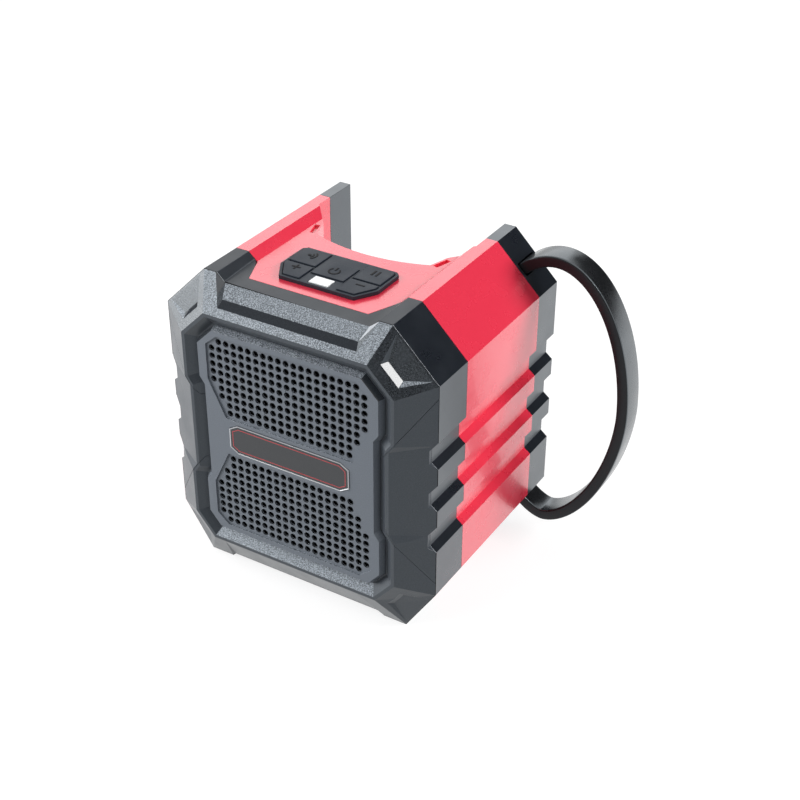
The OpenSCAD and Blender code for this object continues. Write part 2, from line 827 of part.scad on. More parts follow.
// Keypad on the trough floor
y_pad = y_join + pad_front;
pad_corner_x = 6;
pad_corner_y = 10;
pad_back_corner = 2;
pad_half = [[pad_x - pad_back_corner, y_pad + pad_d], [pad_x, y_pad + pad_d - pad_back_corner],
    [pad_x, y_pad + pad_corner_y], [pad_x - pad_corner_x, y_pad]];
pad_line = both(pad_half);
pad_rim = 1.4;
key_split_x = 9;
key_split_y = y_pad + 13.5;
web = 0.9;
key_area = inset(pad_line, pad_rim);
power_y0 = y_pad + 8.6;
power_y1 = y_pad + pad_d - 7;
lens_y0 = y_pad + 1.6;
lens_y1 = y_pad + 7.6;
lens_x = 4.8;
well_z = floor_z - bumper_wall - fit - shell_wall;
pad_z = floor_z + pad_h;
key_z = pad_z + key_proud;
flange_lap = 0.2;
key_flange_t = 1;
board_top = well_z - 2.6;
board_t = 1.6;
switch_h = 3;
plunger_d = 3;

// Outline of a key, cut from the key area by its box and moved in by d
module key_face(name, d) {
    offset(delta = -d)
        intersection() {
            polygon(key_area);
            if (name == "power")
                translate([-key_split_x + web / 2, power_y0])
                    square([2 * key_split_x - web, power_y1 - power_y0]);
            else
                side_key_box(name);
        }
}

module side_key_box(name) {
    right = name == "pause" || name == "minus";
    rear = name == "mode" || name == "pause";
    translate([right ? key_split_x + web / 2 : -big, rear ? key_split_y + web / 2 : -big])
        square([big - key_split_x - web / 2, rear ? big : big + key_split_y - web / 2]);
}

key_names = ["power", "mode", "plus", "pause", "minus"];
side_key_x = (key_split_x + pad_x) / 2;
function key_spot(name) = name == "power" ? [0, (power_y0 + power_y1) / 2]
    : [name == "pause" || name == "minus" ? side_key_x : -side_key_x,
        name == "mode" || name == "pause" ? (key_split_y + y_pad + pad_d) / 2 : y_pad + 8.5];

module keypad_frame() {
    color(dark)
        difference() {
            translate([0, 0, floor_z])
                linear_extrude(pad_h)
                    polygon(pad_line);
            translate([0, 0, floor_z - 1])
                linear_extrude(big)
                    for (name = key_names)
                        key_face(name, 0);
            translate([-lens_x - fit, lens_y0 - fit, floor_z - 1])
                cube([2 * (lens_x + fit), lens_y1 - lens_y0 + 2 * fit, big]);
        }
}

// A key's cap, the flange that keeps it under the frame, and the plunger over its switch
module key(name) {
    spot = key_spot(name);
    color(dark) {
        translate([0, 0, floor_z - 0.4 - key_flange_t])
            linear_extrude(key_z - floor_z + 0.4 + key_flange_t)
                key_face(name, key_gap);
        translate([0, 0, floor_z - 0.4 - key_flange_t])
            linear_extrude(key_flange_t)
                key_face(name, -flange_lap);
        translate([spot[0], spot[1], board_top + switch_h + key_travel + 0.2])
            cylinder(d = plunger_d, h = floor_z - 1 - board_top - switch_h - key_travel - 0.2);
    }
}

module button_power() {
    key("power");
}

module button_mode() {
    key("mode");
}

module button_plus() {
    key("plus");
}

module button_pause() {
    key("pause");
}

module button_minus() {
    key("minus");
}

module keypad_well() {
    translate([0, 0, well_z - 1])
        linear_extrude(floor_z - well_z + 2)
            offset(delta = 0.6)
                polygon(key_area);
}

board_x = 31;
board_y0 = y_pad - 2;
board_y1 = y_pad + pad_d + 2;
post_d = 5;
small_bore = 2;
small_clear = 2.4;
small_head = 4;
small_head_t = 1.4;
key_post_spots = [for (x = [-1, 1]) for (y = [board_y0 + 3.5, board_y1 - 3.5]) [x * (board_x - 3), y]];

module key_posts() {
    difference() {
        for (s = key_post_spots)
            translate([s[0], s[1], board_top])
                cylinder(d = post_d, h = well_z - board_top + 1);
        for (s = key_post_spots)
            translate([s[0], s[1], board_top - 1])
                cylinder(d = small_bore, h = well_z - board_top + 1);
    }
}

module status_lens() {
    color("white") {
        translate([-lens_x, lens_y0, floor_z - 1.4])
            cube([2 * lens_x, lens_y1 - lens_y0, pad_h + 1.6]);
        translate([-lens_x - 0.6, lens_y0 - 0.3, floor_z - 1.4])
            cube([2 * lens_x + 1.2, lens_y1 - lens_y0 + 0.6, 1.2]);
    }
}

module control_board() {
    color("darkgreen")
        difference() {
            translate([-board_x, board_y0, board_top - board_t])
                cube([2 * board_x, board_y1 - board_y0, board_t]);
            for (s = key_post_spots)
                translate([s[0], s[1], board_top - 5])
                    cylinder(d = small_clear, h = 10);
        }
}

module tact_switches() {
    color(black)
        for (name = key_names)
            translate([key_spot(name)[0], key_spot(name)[1], board_top]) {
                translate([-3, -3, 0])
                    cube([6, 6, switch_h - 0.7]);
                cylinder(d = 3.4, h = switch_h);
            }
}

module status_led() {
    color("ivory")
        translate([-1.75, (lens_y0 + lens_y1) / 2 - 1.4, board_top])
            cube([3.5, 2.8, 1.9]);
}

module board_screws() {
    color("silver")
        for (s = key_post_spots)
            translate([s[0], s[1], 0]) {
                translate([0, 0, board_top - board_t - small_head_t])
                    cylinder(d = small_head, h = small_head_t);
                translate([0, 0, board_top - board_t - eps])
                    cylinder(d = small_bore - 0.1, h = board_t + well_z - board_top - 0.4);
            }
}

// Speaker driver: turned pieces on a Y axis through the middle of the grille
module turned() {
    translate([0, 0, driver_z])
        rotate([90, 0, 0])
            rotate_extrude()
                scale([1, -1])
                    children();
}

gasket_t = 1;
y_flange_front = y_baffle + gasket_t;
basket_t = 1.8;
cone_depth = 10;
y_cone = y_flange_front;
y_neck = y_cone + cone_depth;
y_spider = y_neck + 1.5 + cone_travel;
y_plate = y_spider + 5 + cone_travel;
plate_thick = 4;
y_magnet = y_plate + plate_thick;
y_back = y_magnet + magnet_t;
pole_r = coil_r - 0.8;
gap_r = coil_r + 1.2;
spider_r = 25;
basket_foot_r = spider_r + 2;

module driver_gasket() {
    color(black)
        difference() {
            turned()
                translate([lip_r + 0.3, y_baffle])
                    square([flange_r - lip_r - 0.3, gasket_t]);
            for (s = driver_screw_spots)
                translate([s[0], 0, s[1]])
                    rod_y(screw_d + 2 * fit, y_rim, y_rear);
        }
}

module driver_basket() {
    color(black)
        difference() {
            turned()
                polygon([[lip_r - 2, y_flange_front], [flange_r, y_flange_front], [flange_r, y_flange_front + basket_t],
                    [lip_r - 1, y_flange_front + basket_t], [basket_foot_r + 1.6, y_spider + 0.8],
                    [basket_foot_r + 1.6, y_plate], [gap_r + 3, y_plate], [gap_r + 3, y_plate - basket_t],
                    [basket_foot_r, y_plate - basket_t], [basket_foot_r, y_spider + 2], [spider_r - 2, y_spider + 2],
                    [spider_r - 2, y_spider + 0.8], [basket_foot_r, y_spider + 0.8]]);
            translate([0, 0, driver_z])
                for (a = [0:60:300])
                    rotate([0, a, 0])
                        translate([-9, y_flange_front + basket_t + 1.5, 0])
                            cube([18, y_spider - y_flange_front - basket_t - 2.4, big]);
            for (s = driver_screw_spots)
                translate([s[0], 0, s[1]])
                    rod_y(screw_d + 2 * fit, y_rim, y_rear);
        }
}

roll_r = 2.5;
skin = 0.6;
module driver_surround() {
    color("#2a2a2c")
        turned() {
            mid = cone_r + roll_r;
            translate([cone_r - 1.5, y_cone - skin])
                square([1.5 + skin / 2, skin]);
            translate([mid + roll_r - skin / 2, y_cone - skin])
                square([lip_r - mid - roll_r + skin / 2, skin]);
            intersection() {
                translate([mid, y_cone])
                    difference() {
                        circle(r = roll_r);
                        circle(r = roll_r - skin);
                    }
                translate([cone_r - 1, y_cone - roll_r])
                    square([2 * roll_r + 2, roll_r]);
            }
        }
}

module driver_cone() {
    color("#303236")
        turned()
            polygon([[cone_r - 0.3, y_cone], [cone_r - 1.6, y_cone], [coil_r + 0.5, y_neck], [coil_r + 0.5, y_neck + 1.2],
                [coil_r + 1.6, y_neck + 1.2], [cone_r - 0.3, y_cone + skin]]);
}

cap_r = coil_r + 2.5;
cap_rise = 4;
cap_sphere = (cap_r * cap_r + cap_rise * cap_rise) / (2 * cap_rise);
y_cap = y_neck - 1.6;
module driver_dust_cap() {
    color(black)
        turned()
            intersection() {
                translate([0, y_cap - cap_rise + cap_sphere])
                    difference() {
                        circle(r = cap_sphere);
                        circle(r = cap_sphere - skin);
                    }
                translate([0, y_cap - cap_rise - 1])
                    square([cap_r, cap_rise + 1]);
            }
}

module voice_coil() {
    color("peru")
        turned() {
            translate([coil_r - 0.4, y_neck])
                square([0.9 - eps, y_plate + plate_thick - y_neck]);
            translate([coil_r + 0.3, y_plate - cone_travel])
                square([0.5, plate_thick + cone_travel]);
        }
}

spider_waves = 3;
module driver_spider() {
    color("goldenrod")
        turned() {
            span = spider_r - coil_r - 1;
            steps = spider_waves * 8;
            line = [for (i = [0:steps]) [coil_r + 1 + span * i / steps,
                y_spider + 0.5 * sin(360 * spider_waves * i / steps)]];
            polygon(concat(line, [for (i = [steps:-1:0]) line[i] + [0, skin / 2]]));
        }
}

module driver_top_plate() {
    color("silver")
        turned()
            translate([gap_r, y_plate])
                square([magnet_r - 3 - gap_r, plate_thick]);
}

module driver_magnet() {
    color("#3a3a3e")
        turned()
            translate([gap_r + 4, y_magnet])
                square([magnet_r - gap_r - 4, magnet_t]);
}

module driver_back_plate() {
    color("silver")
        turned()
            polygon([[0, y_plate], [pole_r, y_plate], [pole_r, y_back], [magnet_r - 3, y_back],
                [magnet_r - 3, y_back + plate_thick], [0, y_back + plate_thick]]);
}

module driver_screws() {
    color("silver")
        for (s = driver_screw_spots)
            translate([s[0], 0, s[1]])
                rear_screw(y_flange_front + basket_t, basket_t + gasket_t + baffle_t - 1);
}

// Amplifier board under the magnet, on posts of the housing's rear wall
amp_w = 70;
amp_h = 26;
amp_z = 16;
amp_t = 1.6;
amp_post = 6;
y_amp = y_wall - amp_post - amp_t;
amp_screw_spots = [for (x = [-1, 1]) for (z = [amp_z + 3.5, amp_z + amp_h - 3.5]) [x * (amp_w / 2 - 3.5), z]];

module board_posts() {
    difference() {
        for (s = amp_screw_spots)
            translate([s[0], 0, s[1]])
                rod_y(post_d, y_wall - amp_post, y_wall + 1);
        for (s = amp_screw_spots)
            translate([s[0], 0, s[1]])
                rod_y(small_bore, y_wall - amp_post - 1, y_wall - 1);
    }
}

module amplifier_board() {
    color("darkgreen")
        difference() {
            translate([-amp_w / 2, y_amp, amp_z])
                cube([amp_w, amp_t, amp_h]);
            for (s = amp_screw_spots)
                translate([s[0], 0, s[1]])
                    rod_y(small_clear, y_rim, y_rear);
        }
}

cap_can_d = 8;
cap_can_h = 11;
cap_can_xs = [-20, -9];
chip_w = 10;
chip_t = 2;
chip_x = 4;
coil_w = 9;
coil_h = 12;
coil_t = 7;
coil_x = 18;
module amplifier_parts() {
    middle = amp_z + amp_h / 2;
    color("#404448") {
        for (x = cap_can_xs)
            translate([x, 0, middle])
                rod_y(cap_can_d, y_amp - cap_can_h, y_amp);
        translate([chip_x, y_amp - chip_t, middle - chip_w / 2])
            cube([chip_w, chip_t, chip_w]);
        translate([coil_x, y_amp - coil_t, middle - coil_h / 2])
            cube([coil_w, coil_t, coil_h]);
    }
}

module amplifier_screws() {
    color("silver")
        for (s = amp_screw_spots)
            translate([s[0], 0, s[1]]) {
                rod_y(small_head, y_amp - small_head_t, y_amp);
                rod_y(small_bore - 0.1, y_amp - eps, y_amp + amp_t + amp_post - 2);
            }
}

// Battery dock on the front wall of the bay
dock_t = 3;
dock_z0 = bay_floor + 6;
dock_z1 = body_h - 22;
rail_w = 4;
rail_d = 7;
lip_w = 8;
block_w = 44;
block_h = 24;
block_z = body_h / 2 - 8;
dock_screw_spots = [for (x = [-1, 1]) for (z = [dock_z0 + 6, dock_z1 - 6]) [x * 12, z]];

dock_x = wall_x - 1;
y_dock = arc_y(wall_x) + dock_t;
y_lip = y_dock + rail_d;
dock_lip_t = 3;
// The front follows the wall of the bay, the rails stand behind it and turn in over the pack's grooves
dock_half = concat([for (i = [0:bay_steps - 1]) bay_half[i]],
    [[dock_x, lookup(dock_x, bay_half)], [dock_x, y_lip], [dock_x - lip_w, y_lip],
        [dock_x - lip_w, y_lip - dock_lip_t], [dock_x - rail_w, y_lip - dock_lip_t], [dock_x - rail_w, y_dock]]);

module battery_dock() {
    color(black)
        difference() {
            translate([0, 0, dock_z0])
                linear_extrude(dock_z1 - dock_z0)
                    polygon(mirrored(dock_half));
            for (s = dock_screw_spots)
                translate([s[0], 0, s[1]])
                    rod_y(screw_bore, y_wall, y_end);
            translate([-block_w / 2 - fit, y_bay - 1, block_z - fit])
                cube([block_w + 2 * fit, bay_d, block_h + 2 * fit]);
        }
}

// Screws from inside the housing into the dock, with their heads towards the front
module dock_screws() {
    color("silver")
        for (s = dock_screw_spots)
            translate([s[0], 0, s[1]]) {
                rod_y(screw_head, y_wall - 2, y_wall);
                rod_y(screw_d - 0.5, y_wall - eps, y_bay + dock_t);
            }
}

blade_pitch = 10;
blade_xs = [for (i = [-1.5:1:1.5]) i * blade_pitch];
blade_t = 0.8;
blade_h = 9;
blade_tail = 6;
blade_back = 1.5;
slit_w = 3;
slit_z = 5;
blade_z = slit_z + 4;
module terminal_block() {
    color(black)
        difference() {
            translate([-block_w / 2, arc_y(block_w / 2), block_z])
                cube([block_w, block_t + dock_t, block_h]);
            for (x = blade_xs)
                translate([x - slit_w / 2, arc_y(block_w / 2) + dock_t, block_z + slit_z])
                    cube([slit_w, big, big]);
            for (x = blade_xs)
                translate([x - blade_t / 2, y_wall, block_z + blade_z])
                    cube([blade_t, bay_d / 2, blade_h]);
        }
}

module contact_blades() {
    color("gold")
        for (x = blade_xs)
            translate([x - blade_t / 2, y_bay - blade_tail, block_z + blade_z])
                cube([blade_t, arc_y(block_w / 2) - y_bay + blade_tail + dock_t + block_t - blade_back, blade_h]);
}

front_bezel();
cheek_left();
cheek_right();
grille_panel();
grille_scrim();
nameplate();
baffle();
baffle_screws();
front_bumper();
main_housing();
rear_bumper_left();
rear_bumper_right();
bumper_screws();
rubber_feet();
carry_strap();
strap_pins();
keypad_frame();
button_power();
button_mode();
button_plus();
button_pause();
button_minus();
status_lens();
control_board();
tact_switches();
status_led();
board_screws();
driver_gasket();
driver_basket();
driver_surround();
driver_cone();
driver_dust_cap();
voice_coil();
driver_spider();
driver_top_plate();
driver_magnet();
driver_back_plate();
driver_screws();
amplifier_board();
amplifier_parts();
amplifier_screws();
bay_liner();
battery_dock();
dock_screws();
terminal_block();
contact_blades();
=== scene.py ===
import json
import math

import bmesh
import bpy
from mathutils import Matrix, Vector


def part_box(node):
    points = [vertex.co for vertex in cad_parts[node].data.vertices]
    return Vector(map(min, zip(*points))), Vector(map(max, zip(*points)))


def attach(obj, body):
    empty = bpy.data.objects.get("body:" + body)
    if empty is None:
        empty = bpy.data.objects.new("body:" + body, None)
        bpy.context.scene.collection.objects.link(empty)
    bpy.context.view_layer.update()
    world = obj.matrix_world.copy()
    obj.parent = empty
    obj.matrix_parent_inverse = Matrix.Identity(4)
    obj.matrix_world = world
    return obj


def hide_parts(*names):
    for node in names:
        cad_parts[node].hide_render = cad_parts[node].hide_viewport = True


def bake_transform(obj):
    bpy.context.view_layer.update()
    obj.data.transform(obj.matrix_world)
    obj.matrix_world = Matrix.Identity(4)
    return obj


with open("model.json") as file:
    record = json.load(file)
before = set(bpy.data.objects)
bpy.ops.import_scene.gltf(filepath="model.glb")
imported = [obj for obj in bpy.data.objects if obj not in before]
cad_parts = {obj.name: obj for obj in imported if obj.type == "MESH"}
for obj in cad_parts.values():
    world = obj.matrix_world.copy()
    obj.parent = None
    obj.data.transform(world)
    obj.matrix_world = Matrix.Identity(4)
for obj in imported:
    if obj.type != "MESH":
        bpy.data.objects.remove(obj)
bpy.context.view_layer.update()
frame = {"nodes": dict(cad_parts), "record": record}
nodes = frame["nodes"]
MM = 0.001
home = {n: body for body, members in frame["record"]["behaviour"]["bodies"].items() for n in members}
slot_of = {s["node"]: s["material_slot"] for s in frame["record"]["subparts"]}

# Stations of the speaker in millimetres, as its parts have them
JOIN_Y = -48.5
BUMP_Y = -25.0
REAR_Y = 41.0
TROUGH_FLOOR_Z = 151.0
TROUGH_FOOT_X = 36.6
FIELD_Y = -57.5
PLATE_Y = -58.75
GRILLE_MID_Z = 78.65
KEY_TOP_Z = 153.4
HOLE_PITCH = 3.94
HOLE_D = 3.0
HOLE_ROW_GAP = 12.3
HOLE_COLS = 10
HOLE_ROWS = 10
STRAP_Y = 50.0
STRAP_W = 13.0
STRAP_T = 5.6

# Camera at the photograph's angle, in metres and degrees
PHOTO_LENS = 66.46
PHOTO_SENSOR = 36
PHOTO_NEAR = 0.01
PHOTO_SPOT = (0.3188, -0.4917, 0.4468)
PHOTO_AZIMUTH = 31.121
PHOTO_ELEVATION = 32.228
PHOTO_ROLL = 0.2


def look(azimuth, elevation, roll):
    a = math.radians(azimuth)
    e = math.radians(elevation)
    back = Vector((math.sin(a) * math.cos(e), -math.cos(a) * math.cos(e), math.sin(e)))
    right = Vector((math.cos(a), math.sin(a), 0))
    up = back.cross(right)
    turn = Matrix.Rotation(math.radians(roll), 3, back)
    axes = [turn @ right, turn @ up, back]
    return Matrix([[axes[c][r] for c in range(3)] for r in range(3)]).to_4x4()


def make_camera():
    data = bpy.data.cameras.new("photo_camera")
    data.lens = PHOTO_LENS
    data.sensor_width = PHOTO_SENSOR
    data.clip_start = PHOTO_NEAR
    camera = bpy.data.objects.new("photo_camera", data)
    camera.matrix_world = Matrix.Translation(PHOTO_SPOT) @ look(PHOTO_AZIMUTH, PHOTO_ELEVATION, PHOTO_ROLL)
    bpy.context.collection.objects.link(camera)
    bpy.context.scene.camera = camera


# Shared surface effects, as shader groups
FLECK_LOW = 0.42
FLECK_HIGH = 0.66
MOTTLE_LOW = 0.3
MOTTLE_HIGH = 0.7


def new_group(name, inputs, outputs):
    group = bpy.data.node_groups.new(name, "ShaderNodeTree")
    for label, kind, value in inputs:
        socket = group.interface.new_socket(name=label, in_out="INPUT", socket_type=kind)
        socket.default_value = value
    for label, kind in outputs:
        group.interface.new_socket(name=label, in_out="OUTPUT", socket_type=kind)
    return group, group.nodes.new("NodeGroupInput"), group.nodes.new("NodeGroupOutput")


def place(tree, kind, settings=None, **values):
    """A new node with its settings and the values of its inputs."""
    node = tree.nodes.new(kind)
    for key, value in (settings or {}).items():
        setattr(node, key, value)
    for key, value in values.items():
        node.inputs[key.replace("_", " ")].default_value = value
    return node


def math_node(tree, operation, a, b):
    node = place(tree, "ShaderNodeMath", {"operation": operation})
    for socket, value in zip(node.inputs, (a, b)):
        if isinstance(value, (int, float)):
            socket.default_value = value
        else:
            tree.links.new(value, socket)
    return node.outputs[0]


def noise_of_size(group, size, detail, roughness=0.5):
    """Noise on the object, by the size of its patches in millimetres."""
    noise = place(group, "ShaderNodeTexNoise", Detail=detail, Roughness=roughness)
    group.links.new(place(group, "ShaderNodeTexCoord").outputs["Object"], noise.inputs["Vector"])
    group.links.new(math_node(group, "DIVIDE", 1 / MM, size), noise.inputs["Scale"])
    return noise.outputs["Fac"]


def make_grain_group():
    """Moulded grain: a fine height and a coarse mottle of the tone, by the size of a grain."""
    group, inside, out = new_group("moulded_grain",
        [("Grain Size", "NodeSocketFloat", 0.4), ("Mottle Size", "NodeSocketFloat", 12.0)],
        [("Height", "NodeSocketFloat"), ("Fleck", "NodeSocketFloat"), ("Mottle", "NodeSocketFloat")])
    link = group.links.new
    fine = noise_of_size(group, inside.outputs["Grain Size"], detail=2.0, roughness=0.6)
    coarse = noise_of_size(group, inside.outputs["Mottle Size"], detail=4.0, roughness=0.55)
    fleck = place(group, "ShaderNodeMapRange", From_Min=FLECK_LOW, From_Max=FLECK_HIGH)
    link(fine, fleck.inputs["Value"])
    link(fine, out.inputs["Height"])
    link(fleck.outputs["Result"], out.inputs["Fleck"])
    link(coarse, out.inputs["Mottle"])
    return group


def make_wear_and_highlight_group():
    """Handling wear and painted edge highlight: a mask along the rounded edges, broken up by noise."""
    group, inside, out = new_group("edge_wear_and_highlight",
        [("Amount", "NodeSocketFloat", 0.5), ("Patch Size", "NodeSocketFloat", 6.0)],
        [("Mask", "NodeSocketFloat")])
    rim = place(group, "ShaderNodeAttribute", {"attribute_name": "rounded_edge"})
    patch = noise_of_size(group, inside.outputs["Patch Size"], detail=3.0)
    both = math_node(group, "MULTIPLY", rim.outputs["Fac"], patch)
    group.links.new(math_node(group, "MULTIPLY", both, inside.outputs["Amount"]), out.inputs["Mask"])
    return group


def make_weave_group():
    """Plain weave: height and tone of crossing threads, by the thread pitch in millimetres."""
    group, inside, out = new_group("plain_weave", [("Pitch", "NodeSocketFloat", 0.6)],
        [("Height", "NodeSocketFloat"), ("Thread", "NodeSocketFloat")])
    link = group.links.new
    split = place(group, "ShaderNodeSeparateXYZ")
    link(place(group, "ShaderNodeTexCoord").outputs["Object"], split.inputs[0])
    turn = math_node(group, "DIVIDE", 2 * math.pi / MM, inside.outputs["Pitch"])
    waves = []
    for axis in ("X", "Z"):
        phase = math_node(group, "MULTIPLY", split.outputs[axis], turn)
        waves.append(math_node(group, "SINE", phase, 0.0))
    cross = math_node(group, "MULTIPLY", *waves)
    link(cross, out.inputs["Height"])
    half = math_node(group, "MULTIPLY", cross, 0.5)
    link(math_node(group, "ADD", half, 0.5), out.inputs["Thread"])
    return group


GRAIN = make_grain_group()
WEAR_AND_HIGHLIGHT = make_wear_and_highlight_group()
WEAVE = make_weave_group()

# Finishes
WHITE = (1.0, 1.0, 1.0)
COOL = (0.84, 0.93, 1.0)
CLOTH_SPECULAR = 0.2
CLOTH_ROUGHNESS = (0.8, 0.95)
MIX_LOW = 6
MIX_HIGH = 7
MIX_RESULT = 2


def rgb(colour):
    return (*colour, 1.0)


def mix_colour(tree, mask, low, high):
    mix = place(tree, "ShaderNodeMix", {"data_type": "RGBA"})
    tree.links.new(mask, mix.inputs["Factor"])
    for socket, colour in ((mix.inputs[MIX_LOW], low), (mix.inputs[MIX_HIGH], high)):
        if isinstance(colour, tuple):
            socket.default_value = rgb(colour)
        else:
            tree.links.new(colour, socket)
    return mix.outputs[MIX_RESULT]


def new_material(name, specular=0.5, coat=0.0, metallic=0.0, tint=WHITE, ior=1.5):
    material = bpy.data.materials.new(name)
    material.use_nodes = True
    tree = material.node_tree
    skin = tree.nodes["Principled BSDF"]
    skin.inputs["Specular IOR Level"].default_value = specular
    skin.inputs["Specular Tint"].default_value = rgb(tint)
    skin.inputs["IOR"].default_value = ior
    skin.inputs["Coat Weight"].default_value = coat
    skin.inputs["Metallic"].default_value = metallic
    return material, tree, skin


def spread(tree, value, low, high):
    """Stretches a soft noise over a range."""
    node = place(tree, "ShaderNodeMapRange", From_Min=MOTTLE_LOW, From_Max=MOTTLE_HIGH,
        To_Min=low, To_Max=high)
    tree.links.new(value, node.inputs["Value"])
    return node.outputs["Result"]


def raise_height(tree, height, depth, skin):
    """Bumps a surface by a height map, by its depth in millimetres."""
    bump = place(tree, "ShaderNodeBump", Strength=1.0, Distance=depth * MM)
    tree.links.new(height, bump.inputs["Height"])
    tree.links.new(bump.outputs["Normal"], skin.inputs["Normal"])


def moulded(name, colour, fleck, roughness, grain, depth, wear_and_highlight, worn_and_highlight, **shine):
    """Moulded plastic, rubber or metal: grain and depth in millimetres, a range of roughness, and paler edges
    by a mask, which is wear on most finishes and a painted highlight on the bezel and grille finishes.
    """
    material, tree, skin = new_material(name, **shine)
    link = tree.links.new
    surface = place(tree, "ShaderNodeGroup", {"node_tree": GRAIN}, Grain_Size=grain)
    edges = place(tree, "ShaderNodeGroup", {"node_tree": WEAR_AND_HIGHLIGHT}, Amount=wear_and_highlight)
    body = mix_colour(tree, surface.outputs["Fleck"], colour, fleck)
    link(mix_colour(tree, edges.outputs["Mask"], body, worn_and_highlight), skin.inputs["Base Color"])
    link(spread(tree, surface.outputs["Mottle"], *roughness), skin.inputs["Roughness"])
    raise_height(tree, surface.outputs["Height"], depth, skin)
    return material


def woven(name, low, high, pitch, depth):
    """Cloth of plain weave: pitch and depth in millimetres."""
    material, tree, skin = new_material(name, CLOTH_SPECULAR)
    link = tree.links.new
    cloth = place(tree, "ShaderNodeGroup", {"node_tree": WEAVE}, Pitch=pitch)
    link(mix_colour(tree, cloth.outputs["Thread"], low, high), skin.inputs["Base Color"])
    link(spread(tree, cloth.outputs["Thread"], *CLOTH_ROUGHNESS), skin.inputs["Roughness"])
    raise_height(tree, cloth.outputs["Height"], depth, skin)
    return material


red_shell = moulded("red_shell", (0.84, 0.040, 0.080), (0.87, 0.044, 0.087), (0.22, 0.30),
    grain=0.5, depth=0.003, wear_and_highlight=0.25, worn_and_highlight=(0.88, 0.14, 0.18), specular=1.0, coat=0.2, ior=1.6)
# The bezel and grille finishes have pale worn colours on a strong edge mask: a painted highlight along their
# rounded edges.
bezel_satin = moulded("bezel_satin", (0.056, 0.064, 0.075), (0.070, 0.080, 0.093), (0.28, 0.36),
    grain=0.4, depth=0.02, wear_and_highlight=1.8, worn_and_highlight=(0.45, 0.50, 0.56), specular=0.36, tint=COOL)
grille_satin = moulded("grille_satin", (0.170, 0.190, 0.220), (0.200, 0.224, 0.259), (0.34, 0.44),
    grain=0.4, depth=0.02, wear_and_highlight=1.8, worn_and_highlight=(0.5, 0.55, 0.61), specular=0.3, tint=COOL)
bezel_spark = moulded("bezel_spark", (0.010, 0.0115, 0.014), (0.050, 0.057, 0.067), (0.24, 0.32),
    grain=0.6, depth=0.12, wear_and_highlight=1.5, worn_and_highlight=(0.3, 0.33, 0.37), specular=0.8, tint=COOL)
# Pale flecks, only on faces that look upwards: partly the moulded speckle, partly a painted highlight in
# place of a lamp's reflection.
bezel_flake_painted_highlight = moulded("bezel_flake_painted_highlight", (0.045, 0.051, 0.060), (0.40, 0.44, 0.49), (0.24, 0.34),
    grain=0.5, depth=0.08, wear_and_highlight=1.5, worn_and_highlight=(0.3, 0.33, 0.37), specular=1.0, tint=COOL, ior=1.6)
# Pale finish for the joint lines, insert ends and ramp walls that face the light: a painted highlight.
bezel_painted_highlight = moulded("bezel_painted_highlight", (0.5, 0.53, 0.57), (0.6, 0.63, 0.67), (0.3, 0.4),
    grain=0.5, depth=0.006, wear_and_highlight=0.2, worn_and_highlight=(0.7, 0.72, 0.75))
bezel_dark = moulded("bezel_dark", (0.030, 0.034, 0.040), (0.040, 0.045, 0.053), (0.45, 0.55),
    grain=0.5, depth=0.012, wear_and_highlight=0.6, worn_and_highlight=(0.08, 0.09, 0.1), specular=0.03)
bezel_polish = moulded("bezel_polish", (0.030, 0.035, 0.042), (0.042, 0.049, 0.058), (0.08, 0.12),
    grain=0.5, depth=0.006, wear_and_highlight=1.5, worn_and_highlight=(0.2, 0.22, 0.25), specular=1.0)
# Near black on the rounded faces at the joints: a painted shadow in the gaps.
parting_shadow = moulded("parting_shadow", (0.003, 0.003, 0.003), (0.005, 0.005, 0.005), (0.8, 0.9),
    grain=0.4, depth=0.004, wear_and_highlight=0.0, worn_and_highlight=(0.01, 0.01, 0.01), specular=0.05)
bumper_rubber = moulded("bumper_rubber", (0.008, 0.010, 0.014), (0.012, 0.0145, 0.02), (0.26, 0.34),
    grain=0.4, depth=0.008, wear_and_highlight=0.8, worn_and_highlight=(0.05, 0.055, 0.065), specular=1.0, tint=COOL, ior=1.62)
bumper_matt = moulded("bumper_matt", (0.008, 0.010, 0.014), (0.012, 0.0145, 0.02), (0.34, 0.42),
    grain=0.4, depth=0.012, wear_and_highlight=0.8, worn_and_highlight=(0.05, 0.055, 0.065), specular=0.4, tint=COOL)
key_rubber = moulded("key_rubber", (0.016, 0.020, 0.028), (0.023, 0.028, 0.038), (0.46, 0.58),
    grain=0.3, depth=0.010, wear_and_highlight=0.5, worn_and_highlight=(0.06, 0.068, 0.078), specular=0.3, tint=COOL)
sign_rubber = moulded("sign_rubber", (0.004, 0.004, 0.005), (0.007, 0.007, 0.008), (0.5, 0.6),
    grain=0.3, depth=0.006, wear_and_highlight=0.5, worn_and_highlight=(0.05, 0.056, 0.064), specular=0.15)
strap_rubber = moulded("strap_rubber", (0.008, 0.0085, 0.0095), (0.012, 0.0125, 0.014), (0.20, 0.30),
    grain=0.5, depth=0.006, wear_and_highlight=0.3, worn_and_highlight=(0.03, 0.031, 0.034), specular=1.0, tint=COOL, ior=1.66)
strap_matt = moulded("strap_matt", (0.008, 0.0085, 0.0095), (0.012, 0.0125, 0.014), (0.28, 0.36),
    grain=0.5, depth=0.006, wear_and_highlight=0.3, worn_and_highlight=(0.03, 0.031, 0.034), specular=0.25, tint=COOL)
foot_rubber = moulded("foot_rubber", (0.014, 0.014, 0.015), (0.022, 0.022, 0.024), (0.7, 0.85),
    grain=0.4, depth=0.02, wear_and_highlight=0.2, worn_and_highlight=(0.05, 0.05, 0.05))
badge_face = moulded("badge_face", (0.020, 0.022, 0.026), (0.028, 0.031, 0.036), (0.3, 0.4),
    grain=0.3, depth=0.008, wear_and_highlight=0.2, worn_and_highlight=(0.12, 0.13, 0.14))
